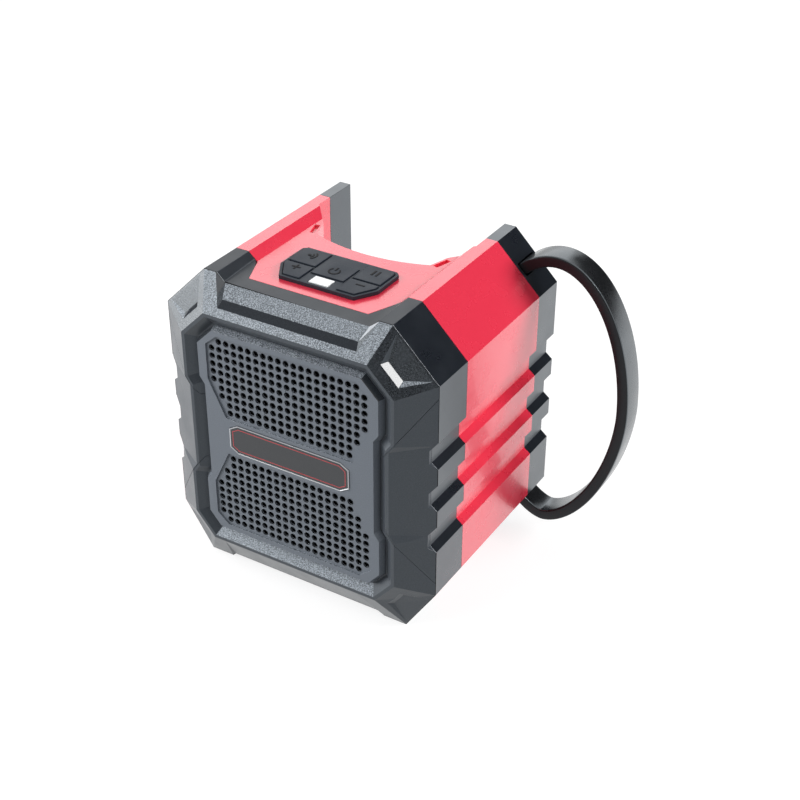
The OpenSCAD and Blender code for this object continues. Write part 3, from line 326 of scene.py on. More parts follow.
badge_silver = moulded("badge_silver", (0.42, 0.43, 0.45), (0.5, 0.51, 0.53), (0.25, 0.36),
    grain=0.4, depth=0.004, wear_and_highlight=0.3, worn_and_highlight=(0.85, 0.85, 0.86), metallic=1.0)
badge_red = moulded("badge_red", (0.5, 0.05, 0.06), (0.56, 0.065, 0.075), (0.35, 0.45),
    grain=0.3, depth=0.004, wear_and_highlight=0.2, worn_and_highlight=(0.6, 0.15, 0.16))
lens_white = moulded("lens_white", (0.86, 0.88, 0.89), (0.9, 0.915, 0.92), (0.12, 0.2),
    grain=0.8, depth=0.002, wear_and_highlight=0.1, worn_and_highlight=(0.95, 0.95, 0.95), coat=0.4)
inner_plastic = moulded("inner_plastic", (0.018, 0.018, 0.02), (0.028, 0.028, 0.031), (0.5, 0.62),
    grain=0.4, depth=0.012, wear_and_highlight=0.3, worn_and_highlight=(0.07, 0.07, 0.075))
screw_steel = moulded("screw_steel", (0.5, 0.5, 0.51), (0.6, 0.6, 0.61), (0.25, 0.4),
    grain=0.3, depth=0.006, wear_and_highlight=0.3, worn_and_highlight=(0.7, 0.7, 0.7), metallic=1.0)
board_green = moulded("board_green", (0.012, 0.09, 0.035), (0.02, 0.13, 0.05), (0.35, 0.5),
    grain=1.2, depth=0.01, wear_and_highlight=0.2, worn_and_highlight=(0.1, 0.2, 0.12))
chip_black = moulded("chip_black", (0.014, 0.014, 0.015), (0.024, 0.024, 0.026), (0.45, 0.6),
    grain=0.3, depth=0.01, wear_and_highlight=0.3, worn_and_highlight=(0.06, 0.06, 0.06))
basket_paint = moulded("basket_paint", (0.016, 0.016, 0.018), (0.026, 0.026, 0.029), (0.38, 0.5),
    grain=0.5, depth=0.015, wear_and_highlight=0.4, worn_and_highlight=(0.12, 0.12, 0.12))
plate_steel = moulded("plate_steel", (0.42, 0.42, 0.43), (0.55, 0.55, 0.56), (0.3, 0.45),
    grain=0.5, depth=0.008, wear_and_highlight=0.3, worn_and_highlight=(0.65, 0.65, 0.65), metallic=1.0)
cone_paper = moulded("cone_paper", (0.02, 0.02, 0.022), (0.04, 0.04, 0.043), (0.75, 0.9),
    grain=0.9, depth=0.05, wear_and_highlight=0.2, worn_and_highlight=(0.06, 0.06, 0.06))
roll_rubber = moulded("roll_rubber", (0.012, 0.012, 0.013), (0.018, 0.018, 0.02), (0.45, 0.6),
    grain=0.4, depth=0.01, wear_and_highlight=0.2, worn_and_highlight=(0.04, 0.04, 0.04))
magnet_ferrite = moulded("magnet_ferrite", (0.04, 0.04, 0.043), (0.065, 0.065, 0.07), (0.55, 0.7),
    grain=0.7, depth=0.03, wear_and_highlight=0.4, worn_and_highlight=(0.1, 0.1, 0.1))
coil_copper = moulded("coil_copper", (0.62, 0.28, 0.13), (0.72, 0.36, 0.18), (0.25, 0.4),
    grain=0.25, depth=0.02, wear_and_highlight=0.2, worn_and_highlight=(0.75, 0.45, 0.3), metallic=1.0)
contact_brass = moulded("contact_brass", (0.72, 0.52, 0.2), (0.8, 0.6, 0.28), (0.2, 0.32),
    grain=0.4, depth=0.004, wear_and_highlight=0.3, worn_and_highlight=(0.85, 0.7, 0.4), metallic=1.0)
scrim_cloth = woven("scrim_cloth", (0.004, 0.004, 0.004), (0.016, 0.016, 0.017), pitch=0.7, depth=0.08)
spider_cloth = woven("spider_cloth", (0.3, 0.16, 0.04), (0.5, 0.29, 0.08), pitch=0.8, depth=0.08)

SLOT_FINISH = {
    "red_shell": red_shell, "bezel_grey": bezel_satin, "bumper_dark": bumper_rubber,
    "key_rubber": key_rubber, "strap_rubber": strap_rubber, "foot_rubber": foot_rubber,
    "badge_dark": badge_face, "scrim_cloth": scrim_cloth, "inner_plastic": inner_plastic,
    "screw_steel": screw_steel, "board_green": board_green, "chip_black": chip_black,
    "lens_white": lens_white, "basket_steel": basket_paint, "plate_steel": plate_steel,
    "cone_paper": cone_paper, "roll_rubber": roll_rubber, "spider_cloth": spider_cloth,
    "magnet_ferrite": magnet_ferrite, "coil_copper": coil_copper, "contact_brass": contact_brass,
}


def dress_nodes():
    for name, part in nodes.items():
        part.data.materials.clear()
        part.data.materials.append(SLOT_FINISH[slot_of[name]])


# Pieces in mesh code
def link_piece(name, mesh):
    piece = bpy.data.objects.new(name, mesh)
    bpy.context.collection.objects.link(piece)
    return piece


def settle(piece, body):
    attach(piece, body)
    return piece


def mesh_of(shell, name, materials):
    """Turns a shell into a mesh with its materials, and frees the shell."""
    mesh = bpy.data.meshes.new(name)
    shell.to_mesh(mesh)
    shell.free()
    for material in materials:
        mesh.materials.append(material)
    return mesh


def finished_mesh(piece):
    """The plain mesh that a piece has under its modifiers."""
    view = bpy.context.evaluated_depsgraph_get()
    seen = piece.evaluated_get(view)
    return bpy.data.meshes.new_from_object(seen, preserve_all_data_layers=True, depsgraph=view)


def join_rings(shell, rings, closed=True, smooth=False):
    """Joins each ring of vertices to the next one by a wall."""
    for a, b in zip(rings, rings[1:]):
        for i in range(len(a) if closed else len(a) - 1):
            j = (i + 1) % len(a)
            shell.faces.new((a[i], a[j], b[j], b[i])).smooth = smooth


def cap_rings(shell, rings):
    shell.faces.new(rings[-1])
    shell.faces.new(list(reversed(rings[0])))


# Mouldings: copies of the parts with rounded edges
MERGE_REACH = 0.002
MERGE_TURN = 0.4
LEAST_TURN = 24.0
CRISP_TURN = 2.0
EDGE_STEPS = 2
FOOT_STEPS = 5
FOOT_RADIUS = 2.2
FOOT_REACH_X = 0.2
FOOT_REACH_Z = 0.05
AREA_WEIGHT = 80


def merged_copy(node):
    shell = bmesh.new()
    shell.from_mesh(nodes[node].data)
    bmesh.ops.remove_doubles(shell, verts=shell.verts, dist=MERGE_REACH * MM)
    turn = math.radians(MERGE_TURN)
    bmesh.ops.dissolve_limit(shell, angle_limit=turn, verts=shell.verts, edges=shell.edges)
    return shell


def round_off(shell, edges, radius, steps):
    return bmesh.ops.bevel(shell, geom=edges, offset=radius * MM, offset_type="OFFSET", segments=steps,
        profile=0.5, affect="EDGES", clamp_overlap=True, loop_slide=True)["faces"]


def trough_foot(edge):
    """Edges where the slopes of the trough meet its floor."""
    for end in edge.verts:
        spot = end.co / MM
        if abs(spot.z - TROUGH_FLOOR_Z) > FOOT_REACH_Z or abs(abs(spot.x) - TROUGH_FOOT_X) > FOOT_REACH_X:
            return False
    return True


def turn_of(edge):
    """Angle in degrees between the faces of an edge, and 0 where there aren't two."""
    return math.degrees(edge.calc_face_angle(0.0))


def round_edges(shell, radius, foot, shortest, crisp):
    """Rounds each edge that turns far enough, and marks the rounded faces. The other edges of a crisp
    moulding stay sharp."""
    if foot:
        round_off(shell, [e for e in shell.edges if trough_foot(e)], foot, FOOT_STEPS)
    sharp = [e for e in shell.edges if turn_of(e) > LEAST_TURN and e.calc_length() > shortest * MM]
    made = round_off(shell, sharp, radius, EDGE_STEPS)
    mark = shell.faces.layers.float.new("rounded_edge")
    for face in shell.faces:
        face.smooth = True
    for face in made:
        if face.is_valid:
            face[mark] = 1.0
    shell.normal_update()
    if crisp:
        for edge in shell.edges:
            rounded = any(face[mark] for face in edge.link_faces)
            edge.smooth = rounded or turn_of(edge) < CRISP_TURN


def moulding(node, radius, choose=None, finishes=None, foot=0.0, shortest=0.0, crisp=False):
    """A copy of a part with rounded edges, which stands for it. Its faces may choose among named finishes."""
    shell = merged_copy(node)
    round_edges(shell, radius, foot, shortest, crisp)
    finishes = finishes or {"plain": SLOT_FINISH[slot_of[node]]}
    if choose:
        order = list(finishes)
        for face in shell.faces:
            face.material_index = order.index(choose(face))
    old = mesh_of(shell, node + "_moulding", finishes.values())
    piece = link_piece(node + "_moulding", old)
    even = piece.modifiers.new("even_normals", "WEIGHTED_NORMAL")
    even.mode = "FACE_AREA"
    even.keep_sharp = True
    even.weight = AREA_WEIGHT
    mesh = finished_mesh(piece)
    piece.modifiers.clear()
    piece.data = mesh
    bpy.data.meshes.remove(old)
    settle(piece, home[node])
    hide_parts(node)


# Finishes of the faces: limits of place in millimetres, and of how far a normal leans along an axis
JOINT_REACH = 0.3
BEZEL_JOINT_REACH = 0.4
BUMPER_JOINT_REACH = 0.45
RAMP_X = 42.0
RAMP_FRONT_Y = JOIN_Y - 8.0
RAMP_REAR_Y = JOIN_Y - 0.3
BAND_TOP_Z = 145.9
BAND_LOW_Z = 143.1
CHEEK_TOP_Z = 104.0
CHEEK_LOW_Z = 53.0
POCKET_WALL = Vector((0.589, -0.554, 0.589))
SAME_WAY = 0.99
HARDLY = 0.1
SLIGHTLY = 0.15
LITTLE = 0.2
CLEARLY = 0.3
STEEPLY = 0.45
LEVEL = 0.9


def at_station(face, station, reach):
    """Whether a face belongs to the joint between two mouldings at a station along the depth."""
    return abs(face.calc_center_median().y / MM - station) < reach and abs(face.normal.y) > SLIGHTLY


def joint_line(face):
    """A joint gets a painted shadow, apart from the upper right, which gets a painted highlight."""
    return "edge" if face.normal.x > CLEARLY and face.normal.z > CLEARLY else "shadow"


def ramp_part(face):
    """Tells the steep band at the end of the ramp, which takes the dark finish, and the walls beside the
    ramp, which take a painted highlight, from the other faces.
    """
    spot = face.calc_center_median() / MM
    inside = abs(spot.x) < RAMP_X and RAMP_FRONT_Y < spot.y < RAMP_REAR_Y and face.normal.y < -HARDLY
    if inside and BAND_LOW_Z < spot.z < BAND_TOP_Z and abs(face.normal.x) < HARDLY:
        return "dark"
    return "edge" if inside and spot.z > BAND_LOW_Z and abs(face.normal.x) > CLEARLY else ""


def bezel_faces(face):
    """Faces that look upwards have a sparkling finish on the corners, and in the middle pale flecks that are
    partly the moulded grain and partly a painted highlight.
    """
    normal = face.normal
    if at_station(face, JOIN_Y, BEZEL_JOINT_REACH):
        return joint_line(face)
    if Vector((abs(normal.x), normal.y, normal.z)).dot(POCKET_WALL) > SAME_WAY:
        return "polish"
    if ramp_part(face):
        return ramp_part(face)
    if normal.z < CLEARLY or abs(normal.x) > STEEPLY:
        return "satin"
    return "flake_painted_highlight" if abs(normal.x) < LITTLE else "spark"


def cheek_faces(face):
    """The ends of an insert have a painted shadow along their parting lines, apart from the upper end on the
    right, which has a painted highlight.
    """
    normal = face.normal
    height = face.calc_center_median().z / MM
    if abs(normal.z) < CLEARLY or normal.y > -HARDLY or CHEEK_LOW_Z < height < CHEEK_TOP_Z:
        return "satin"
    return "edge" if normal.z > 0 and normal.x > 0 else "shadow"


def bumper_faces(face):
    """The ring has a painted shadow at the joints at both ends, with a painted highlight on the upper right
    of the front joint, and its level top is duller than the rest.
    """
    if at_station(face, JOIN_Y, BUMPER_JOINT_REACH):
        return joint_line(face)
    if at_station(face, BUMP_Y, JOINT_REACH):
        return "shadow"
    return "matt" if face.normal.z > LEVEL else "rubber"


def wing_faces(face):
    return "shadow" if at_station(face, REAR_Y, JOINT_REACH) else "rubber"


def make_mouldings():
    # In these sets "edge" is a painted highlight, "shadow" a painted shadow at the joints, and the pale
    # flecks on the upward faces are partly a painted highlight.
    bezel = {"satin": bezel_satin, "spark": bezel_spark, "shadow": parting_shadow, "polish": bezel_polish,
        "edge": bezel_painted_highlight, "dark": bezel_dark, "flake_painted_highlight": bezel_flake_painted_highlight}
    grille = {**bezel, "satin": grille_satin}
    cheek = {"satin": bezel_satin, "edge": bezel_painted_highlight, "shadow": parting_shadow}
    ring = {"rubber": bumper_rubber, "shadow": parting_shadow, "edge": bezel_painted_highlight, "matt": bumper_matt}
    wing = {"rubber": bumper_rubber, "shadow": parting_shadow}
    moulding("front_bezel", 0.35, bezel_faces, bezel, crisp=True)
    moulding("grille_panel", 0.4, bezel_faces, grille, shortest=0.9)
    for side in ("left", "right"):
        moulding("cheek_" + side, 0.3, cheek_faces, cheek, crisp=True)
    moulding("front_bumper", 0.45, bumper_faces, ring, foot=FOOT_RADIUS)
    moulding("main_housing", 0.45, foot=FOOT_RADIUS)
    moulding("bay_liner", 0.4)
    for side in ("left", "right"):
        moulding("rear_bumper_" + side, 0.45, wing_faces, wing)
    moulding("keypad_frame", 0.3)
    for key in ("power", "mode", "plus", "pause", "minus"):
        moulding("button_" + key, 0.3)
    moulding("status_lens", 0.25)
    moulding("battery_dock", 0.4)
    moulding("terminal_block", 0.3)
    moulding("rubber_feet", 0.3)


# Geometry Nodes helpers
def new_tree(name, inputs):
    """A tree whose named inputs are sizes in millimetres."""
    tree = bpy.data.node_groups.new(name, "GeometryNodeTree")
    tree.interface.new_socket(name="Geometry", in_out="INPUT", socket_type="NodeSocketGeometry")
    for label, size in inputs.items():
        socket = tree.interface.new_socket(name=label, in_out="INPUT", socket_type="NodeSocketFloat")
        socket.default_value = size * MM
    tree.interface.new_socket(name="Geometry", in_out="OUTPUT", socket_type="NodeSocketGeometry")
    return tree, tree.nodes.new("NodeGroupInput"), tree.nodes.new("NodeGroupOutput")


def close_tree(tree, geometry, material, out):
    real = place(tree, "GeometryNodeRealizeInstances")
    paint = place(tree, "GeometryNodeSetMaterial", Material=material)
    tree.links.new(geometry, real.inputs[0])
    tree.links.new(real.outputs[0], paint.inputs[0])
    tree.links.new(paint.outputs[0], out.inputs[0])


def grow(name, tree, start, material):
    """Runs a tree on a start mesh or curve and returns the plain result."""
    piece = link_piece(name, start)
    grower = piece.modifiers.new("grow", "NODES")
    grower.node_group = tree
    bpy.context.view_layer.update()
    mesh = finished_mesh(piece)
    bpy.data.objects.remove(piece)
    mesh.name = name
    if not mesh.materials:
        mesh.materials.append(material)
    return link_piece(name, mesh)


# Strap: a band swept along its oval
STRAP_TOP_Z = 153.3
STRAP_LOW_Z = 10.0
STRAP_MID_Z = (STRAP_TOP_Z + STRAP_LOW_Z) / 2
STRAP_RISE = (STRAP_TOP_Z - STRAP_LOW_Z) / 2
STRAP_ROOT_X = 76.3
STRAP_RUN = 39.7
STRAP_LEAD = 23
STRAP_STEP = 2
STRAP_CORNER = 0.9
STRAP_CORNER_STEPS = 4
UPPER_POWER = 2.0
LOWER_POWER = 1.75
STRAP_EDGE_TURN = 0.7
STRAP_SKY_TURN = 0.6


def oval(x, power):
    """Half height of the strap's oval at a distance from its root."""
    return STRAP_RISE * (1 - (abs(x) / STRAP_RUN) ** power) ** (1 / power)


def strap_path(depth):
    """Points of the strap's line, at a depth under its outer face."""
    lead = [i - STRAP_LEAD for i in range(0, STRAP_LEAD, STRAP_STEP)]
    turn = [STRAP_RUN * math.sin(math.radians(a)) for a in range(0, 91, STRAP_STEP)]
    there = [(x, STRAP_MID_Z + oval(x, UPPER_POWER)) for x in lead + turn]
    back = [(x, STRAP_MID_Z - oval(x, LOWER_POWER)) for x in reversed(lead + turn[:-1])]
    points = [Vector((STRAP_ROOT_X + x, z)) for x, z in there + back]
    moved = []
    for i, p in enumerate(points):
        along = (points[min(i + 1, len(points) - 1)] - points[max(i - 1, 0)]).normalized()
        moved.append(p + depth * Vector((along.y, -along.x)))
    return moved


def make_strap_tree():
    tree, inside, out = new_tree("strap_sweep",
        {"Width": STRAP_W, "Thickness": STRAP_T, "Corner": STRAP_CORNER})
    link = tree.links.new
    section = place(tree, "GeometryNodeCurvePrimitiveQuadrilateral")
    link(inside.outputs["Thickness"], section.inputs["Width"])
    link(inside.outputs["Width"], section.inputs["Height"])
    soft = place(tree, "GeometryNodeFilletCurve", {"mode": "POLY"}, Count=STRAP_CORNER_STEPS)
    link(section.outputs[0], soft.inputs["Curve"])
    link(inside.outputs["Corner"], soft.inputs["Radius"])
    sweep = place(tree, "GeometryNodeCurveToMesh", Fill_Caps=True)
    link(inside.outputs["Geometry"], sweep.inputs["Curve"])
    link(soft.outputs[0], sweep.inputs["Profile Curve"])
    smooth = place(tree, "GeometryNodeSetShadeSmooth")
    link(sweep.outputs[0], smooth.inputs[0])
    stand = place(tree, "GeometryNodeTransform", Translation=(0, STRAP_Y * MM, 0),
        Rotation=(math.radians(90), 0, 0))
    link(smooth.outputs[0], stand.inputs["Geometry"])
    close_tree(tree, stand.outputs[0], strap_rubber, out)
    return tree


def make_strap():
    path = strap_path(STRAP_T / 2)
    tree = make_strap_tree()
    curve = bpy.data.curves.new("strap_line", "CURVE")
    curve.dimensions = "3D"
    curve.twist_mode = "Z_UP"
    spline = curve.splines.new("POLY")
    spline.points.add(len(path) - 1)
    for point, (x, z) in zip(spline.points, path):
        point.co = (x * MM, z * MM, 0.0, 1.0)
    piece = grow("carry_strap_band", tree, curve, strap_rubber)
    # The band's edges and its inner face are duller, apart from where it looks up
    piece.data.materials.append(strap_matt)
    middle = Vector((STRAP_ROOT_X, STRAP_Y, STRAP_MID_Z)) * MM
    for face in piece.data.polygons:
        inward = face.normal.dot(middle - face.center) > 0 and face.normal.z < STRAP_SKY_TURN
        if inward or abs(face.normal.y) > STRAP_EDGE_TURN:
            face.material_index = 1
    settle(piece, "body")
    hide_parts("carry_strap")


# Rims of the sound holes
RIM_RADIUS = 0.09
RIM_TURNS = 20
RIM_SIDES = 4
OUTER_CUT = {HOLE_COLS: 1}
INNER_CUT = {HOLE_COLS: 4, HOLE_COLS - 1: 2}


def hole_spots():
    """Places of the holes in both fields, whose corners are cut."""
    for c in range(-HOLE_COLS, HOLE_COLS + 1):
        for r in range(INNER_CUT.get(abs(c), 0), HOLE_ROWS - OUTER_CUT.get(abs(c), 0)):
            for side in (-1, 1):
                yield c * HOLE_PITCH, GRILLE_MID_Z + side * (HOLE_ROW_GAP + r * HOLE_PITCH)


def make_hole_rims():
    tree, inside, out = new_tree("hole_rims", {"Hole Radius": HOLE_D / 2, "Rim Radius": RIM_RADIUS})
    link = tree.links.new
    ring = place(tree, "GeometryNodeCurvePrimitiveCircle", Resolution=RIM_TURNS)
    link(inside.outputs["Hole Radius"], ring.inputs["Radius"])
    section = place(tree, "GeometryNodeCurvePrimitiveCircle", Resolution=RIM_SIDES)
    link(inside.outputs["Rim Radius"], section.inputs["Radius"])
    sweep = place(tree, "GeometryNodeCurveToMesh")
    link(ring.outputs[0], sweep.inputs["Curve"])
    link(section.outputs[0], sweep.inputs["Profile Curve"])
    seat = place(tree, "GeometryNodeInstanceOnPoints", Rotation=(math.radians(90), 0, 0))
    link(inside.outputs["Geometry"], seat.inputs["Points"])
    link(sweep.outputs[0], seat.inputs["Instance"])
    close_tree(tree, seat.outputs[0], bezel_satin, out)
    start = bpy.data.meshes.new("hole_spots")
    start.from_pydata([(x * MM, FIELD_Y * MM, z * MM) for x, z in hole_spots()], [], [])
    settle(grow("grille_hole_rims", tree, start, bezel_satin), "body")


# Cloth behind the holes
SCRIM_BACK = 0.1
SCRIM_CUTS = 2


def make_scrim():
    shell = merged_copy("grille_scrim")
    shell.normal_update()
    gone = [f for f in shell.faces if f.normal.y > -LEVEL]
    bmesh.ops.delete(shell, geom=gone, context="FACES")
    bmesh.ops.triangulate(shell, faces=shell.faces)
    bmesh.ops.subdivide_edges(shell, edges=shell.edges, cuts=SCRIM_CUTS, use_grid_fill=True)
    bmesh.ops.translate(shell, verts=shell.verts, vec=(0, SCRIM_BACK * MM, 0))
    area = sum(f.calc_area() for f in shell.faces)
    mesh = mesh_of(shell, "scrim_sheet", [scrim_cloth])
    piece = settle(link_piece("scrim_sheet", mesh), "body")
    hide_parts("grille_scrim")


# Nameplate with a bright border and a fine line
PLATE_RIGHT = [(27.4, 7.6), (31.9, 4.9), (31.9, -4.9), (27.4, -7.6)]
PLATE = PLATE_RIGHT + [(-x, -z) for x, z in PLATE_RIGHT]
PLATE_STEPS = ((0.0, -57.7), (0.15, -58.5), (0.5, PLATE_Y))
BORDER_STEPS = ((0.05, -58.4), (0.2, -58.85), (0.5, -58.85), (0.65, PLATE_Y + 0.02))
LINE_STEPS = ((1.75, PLATE_Y + 0.02), (1.78, PLATE_Y - 0.05), (2.12, PLATE_Y - 0.05), (2.15, PLATE_Y + 0.02))


def drawn_in(outline, d):
    """The outline moved inwards by d, for points that run clockwise."""
    moved = []
    for i, p in enumerate(outline):
        before = Vector(p) - Vector(outline[i - 1])
        after = Vector(outline[(i + 1) % len(outline)]) - Vector(p)
        a = Vector((before.y, -before.x)).normalized()
        b = Vector((after.y, -after.x)).normalized()
        moved.append(Vector(p) + d * (a + b) / (1 + a.dot(b)))
    return moved


def plate_piece(name, steps, filled, material):
    """A plate or a band on the grille: its steps are distances from the plate's outline and stations."""
    shell = bmesh.new()
    rings = []
    for d, y in steps:
        spots = [(p[0] * MM, y * MM, (p[1] + GRILLE_MID_Z) * MM) for p in drawn_in(PLATE, d)]
        rings.append([shell.verts.new(spot) for spot in spots])
    join_rings(shell, rings)
    if filled:
        cap_rings(shell, rings)
    bmesh.ops.recalc_face_normals(shell, faces=shell.faces)
    return settle(link_piece(name, mesh_of(shell, name, [material])), "body")


def make_nameplate():
    piece = plate_piece("nameplate_face", PLATE_STEPS, True, badge_face)
    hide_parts("nameplate")
    plate_piece("nameplate_border", BORDER_STEPS, False, badge_silver)
    plate_piece("nameplate_line", LINE_STEPS, False, badge_red)


# Raised signs on the keys
SIGN_STEPS = ((0.0, -0.05), (0.0, 0.1), (0.1, 0.16))
SIGN_FRONT_Y = -23.9
SIGN_REAR_Y = -11.4
SIGN_X = 16.5
SIGN_LENGTH = 4.4
STROKE = 0.9
FINE_STROKE = 0.8
PAUSE_STROKE = 1.0
PAUSE_X = 1.1
PLUS_ARM = 1.75
PLUS_ARM_X = 1.33
POWER_Y = -18.9
POWER_RADIUS = 2.5
POWER_START = 50
POWER_END = -230
POWER_BAR = 2.8
POWER_BAR_Y = -16.8
MODE_X = -SIGN_X - 1.4
MODE_RADII = (1.9, 3.4)
MODE_SPAN = 55
DOT_START = 180
DOT_END = -179
BOW_STEPS = 20


def raise_sign(name, body, shapes):
    """Flat outlines on a key top, raised with a small slope."""
    shell = bmesh.new()
    for outline in shapes:
        rings = []
        for d, z in SIGN_STEPS:
            spots = [(p[0] * MM, p[1] * MM, (KEY_TOP_Z + z) * MM) for p in drawn_in(outline, d)]
            rings.append([shell.verts.new(spot) for spot in spots])
        join_rings(shell, rings)
        cap_rings(shell, rings)
    bmesh.ops.recalc_face_normals(shell, faces=shell.faces)
    settle(link_piece(name, mesh_of(shell, name, [sign_rubber])), body)


def bar(x, y, w, h):
    return [(x - w / 2, y + h / 2), (x + w / 2, y + h / 2), (x + w / 2, y - h / 2), (x - w / 2, y - h / 2)]


def bow(x, y, radius, width, start, end):
    """Part of a ring from one angle to another, in degrees, clockwise."""
    turn = [math.radians(start + (end - start) * i / BOW_STEPS) for i in range(BOW_STEPS + 1)]
    far = radius + width / 2
    near = radius - width / 2
    outer = [(x + far * math.cos(t), y + far * math.sin(t)) for t in turn]
    inner = [(x + near * math.cos(t), y + near * math.sin(t)) for t in reversed(turn)]
    return outer + inner


def make_signs():
    ring = bow(0, POWER_Y, POWER_RADIUS, FINE_STROKE, POWER_START, POWER_END)
    raise_sign("sign_power", "key_power", [ring, bar(0, POWER_BAR_Y, FINE_STROKE, POWER_BAR)])
    arms = [bar(-SIGN_X + side * PLUS_ARM_X, SIGN_FRONT_Y, PLUS_ARM, STROKE) for side in (-1, 1)]
    raise_sign("sign_plus", "key_plus", [bar(-SIGN_X, SIGN_FRONT_Y, STROKE, SIGN_LENGTH), *arms])
    raise_sign("sign_minus", "key_minus", [bar(SIGN_X, SIGN_FRONT_Y, SIGN_LENGTH, STROKE)])
    raise_sign("sign_pause", "key_pause",
        [bar(SIGN_X + side * PAUSE_X, SIGN_REAR_Y, PAUSE_STROKE, SIGN_LENGTH) for side in (-1, 1)])
    dot = bow(MODE_X, SIGN_REAR_Y, STROKE / 2, STROKE, DOT_START, DOT_END)
    waves = [bow(MODE_X, SIGN_REAR_Y, r, FINE_STROKE, MODE_SPAN, -MODE_SPAN) for r in MODE_RADII]
    raise_sign("sign_mode", "key_mode", [dot, *waves])


# Soft rings of the driver, in sectors, between the basket and the cone
SURROUND_SECTORS = 24
SURROUND_SKIN = 0.6
SURROUND_OVERLAP = 1.2
SURROUND_FLAT = 0.3
ARC_STEPS = 12
SPIDER_SECTORS = 12
SPIDER_INNER_R = 11.0
SPIDER_OUTER_R = 25.0
SPIDER_WAVES = 3
SPIDER_RISE = 0.5
WAVE_STEPS = 8
RING_TURNS = 96


def ring_sectors(name, section, closed, count, material, node):
    """A turned soft ring in sectors."""
    turn = 2 * math.pi / count
    steps = RING_TURNS // count
    pieces = []
    for sector in range(count):
        shell = bmesh.new()
        columns = []
        for step in range(steps + 1):
            a = turn * (sector + step / steps)
            points = [(r * math.cos(a), y, GRILLE_MID_Z + r * math.sin(a)) for r, y in section]
            columns.append([shell.verts.new((x * MM, y * MM, z * MM)) for x, y, z in points])
        join_rings(shell, columns, closed, smooth=True)
        bmesh.ops.recalc_face_normals(shell, faces=shell.faces)
        mesh = mesh_of(shell, f"{name}_{sector + 1}", [material])
        piece = link_piece(mesh.name, mesh)
        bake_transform(piece)
        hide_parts(node)
        pieces.append(piece)
    return pieces


def make_surround():
    """The roll between the cone and the basket."""
    low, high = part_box("driver_surround")
    back = high[1] / MM
    roll = back - low[1] / MM
    lip = high[0] / MM
    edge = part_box("driver_cone")[1][0] / MM
    foot = edge - SURROUND_OVERLAP
    face = back - SURROUND_SKIN
    bore = roll - SURROUND_SKIN
    mid = edge + SURROUND_FLAT + roll
    arc = [math.pi * (1 + i / ARC_STEPS) for i in range(ARC_STEPS + 1)]
    front = [(mid + roll * math.cos(a), min(back + roll * math.sin(a), face)) for a in arc]
    inner = [(mid + bore * math.cos(a), back + bore * math.sin(a)) for a in reversed(arc)]
    section = [(foot, back), (foot, face), *front, (lip, face), (lip, back), *inner]
    ring_sectors("surround_roll", section, True, SURROUND_SECTORS,
        roll_rubber, "driver_surround")


def make_spider():
    """The pleated cloth between the coil and the basket."""
    low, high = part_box("driver_spider")
    mid = (low[1] + high[1]) / 2 / MM
    steps = SPIDER_WAVES * WAVE_STEPS
    width = SPIDER_OUTER_R - SPIDER_INNER_R
    section = []
    for i in range(steps + 1):
        rise = SPIDER_RISE * math.sin(2 * math.pi * SPIDER_WAVES * i / steps)
        section.append((SPIDER_INNER_R + width * i / steps, mid + rise))
    for piece in ring_sectors("spider_cloth", section, False, SPIDER_SECTORS,
            spider_cloth, "driver_spider"):
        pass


# Studio: white floor, dark cards that only show as reflections, and soft lamps, in metres
TARGET = Vector((0, 0, 0.08))
FLOOR_SIZE = 12.0
FLOOR_TONE = (0.3, 0.3, 0.3)
CARD_TONE = (0.01, 0.01, 0.01)
CAMERA_SHARE = 0.8
WORLD_FILL = 0.18


def seen_strength(tree):
    """Full strength for mirrored and refracted rays, and a share of it for the camera."""
    path = place(tree, "ShaderNodeLightPath")
    mirrored = math_node(tree, "MAXIMUM", path.outputs["Is Glossy Ray"], path.outputs["Is Transmission Ray"])
    plain = math_node(tree, "MULTIPLY", path.outputs["Is Camera Ray"], CAMERA_SHARE)
    return math_node(tree, "MAXIMUM", mirrored, plain)


def flat_piece(name, width, height, where):
    """A rectangle with its place in its mesh."""
    corners = [(x * width / 2, y * height / 2, 0) for x, y in ((-1, -1), (1, -1), (1, 1), (-1, 1))]
    mesh = bpy.data.meshes.new(name)
    mesh.from_pydata([where @ Vector(c) for c in corners], [], [(0, 1, 2, 3)])
    return link_piece(name, mesh)


def make_floor():
    floor = flat_piece("floor", FLOOR_SIZE, FLOOR_SIZE, Matrix.Identity(4))
    material = bpy.data.materials.new("white_floor")
    material.use_nodes = True
    tree = material.node_tree
    tree.nodes.clear()
    out = place(tree, "ShaderNodeOutputMaterial")
    matt = place(tree, "ShaderNodeBsdfDiffuse", Color=rgb(FLOOR_TONE))
    glow = place(tree, "ShaderNodeEmission")
    tree.links.new(seen_strength(tree), glow.inputs["Strength"])
    both = place(tree, "ShaderNodeAddShader")
    tree.links.new(matt.outputs[0], both.inputs[0])
    tree.links.new(glow.outputs[0], both.inputs[1])
    tree.links.new(both.outputs[0], out.inputs["Surface"])
    floor.data.materials.append(material)


def place_towards(spot, facing):
    """Where a flat thing stands at a spot, with its front along a direction."""
    return Matrix.Translation(spot) @ facing.to_track_quat("Z", "Y").to_matrix().to_4x4()


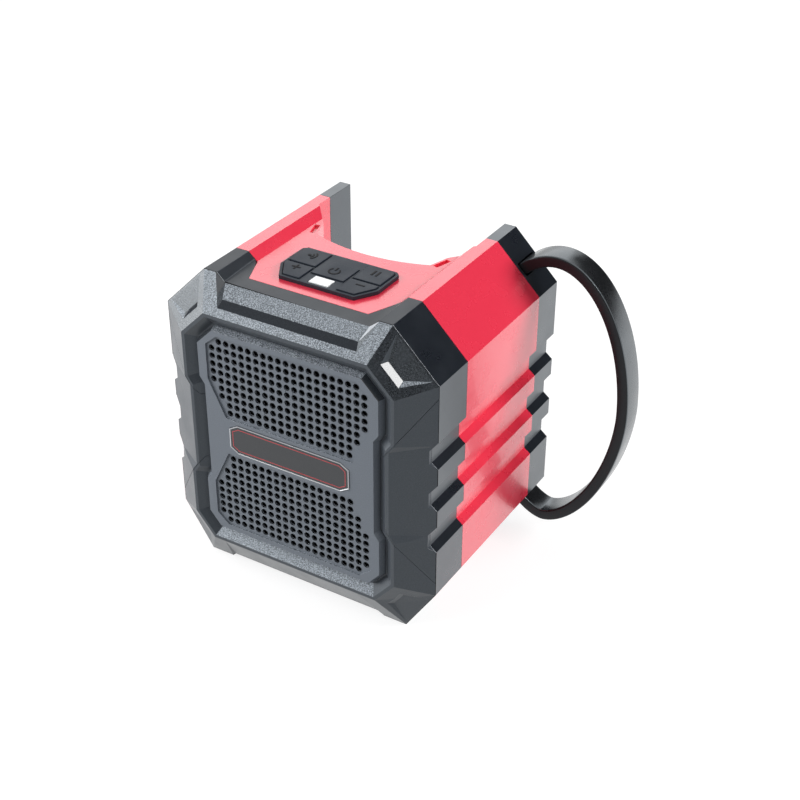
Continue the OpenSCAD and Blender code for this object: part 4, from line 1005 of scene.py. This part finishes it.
def make_card(name, direction, distance, width, height):
    spot = TARGET + Vector(direction).normalized() * distance
    card = flat_piece(name, width, height, place_towards(spot, TARGET - spot))
    material, _, skin = new_material(name + "_cloth", specular=0.0)
    skin.inputs["Base Color"].default_value = rgb(CARD_TONE)
    skin.inputs["Roughness"].default_value = 1.0
    card.data.materials.append(material)
    card.visible_camera = False
    card.visible_shadow = False


def make_lamp(name, direction, distance, size, radiance, sheen=True):
    """A square soft lamp that faces the object, by the brightness of its face. Without sheen it isn't
    mirrored."""
    data = bpy.data.lights.new(name, "AREA")
    data.shape = "SQUARE"
    data.size = size
    data.energy = radiance * math.pi * size * size
    lamp = bpy.data.objects.new(name, data)
    spot = TARGET + Vector(direction).normalized() * distance
    lamp.matrix_world = place_towards(spot, spot - TARGET)
    lamp.visible_glossy = sheen
    bpy.context.collection.objects.link(lamp)


def make_world():
    world = bpy.data.worlds.new("studio")
    world.use_nodes = True
    tree = world.node_tree
    glow = tree.nodes["Background"]
    level = place(tree, "ShaderNodeMapRange", To_Min=WORLD_FILL, To_Max=1.0)
    tree.links.new(seen_strength(tree), level.inputs["Value"])
    tree.links.new(level.outputs["Result"], glow.inputs["Strength"])
    glow.inputs["Color"].default_value = rgb(WHITE)
    bpy.context.scene.world = world


def make_studio():
    make_floor()
    make_card("rear_card", (0.53, 0.72, 0.44), 1.0, width=1.2, height=0.75)
    make_card("front_card", (0.45, -0.83, 0.34), 1.1, width=0.9, height=0.55)
    make_card("left_card", (-0.95, 0.31, 0.03), 1.0, width=0.4, height=0.5)
    make_lamp("key_lamp", (-0.51, -0.57, 0.64), 1.4, size=1.25, radiance=2.4, sheen=False)
    make_lamp("back_lamp", (-0.44, 0.72, 0.55), 1.3, size=0.9, radiance=0.9)
    make_lamp("right_lamp", (0.78, 0.45, 0.43), 1.3, size=0.6, radiance=13.5, sheen=False)
    make_lamp("left_lamp", (-0.91, -0.38, 0.08), 1.2, size=1.1, radiance=4.2)
    make_lamp("corner_lamp", (0.69, -0.355, 0.625), 1.2, size=0.24, radiance=9.0)
    make_world()
    bpy.context.scene.view_settings.view_transform = "Standard"


make_camera()
dress_nodes()
make_mouldings()
make_strap()
make_hole_rims()
make_scrim()
make_nameplate()
make_signs()
make_surround()
make_spider()
make_studio()
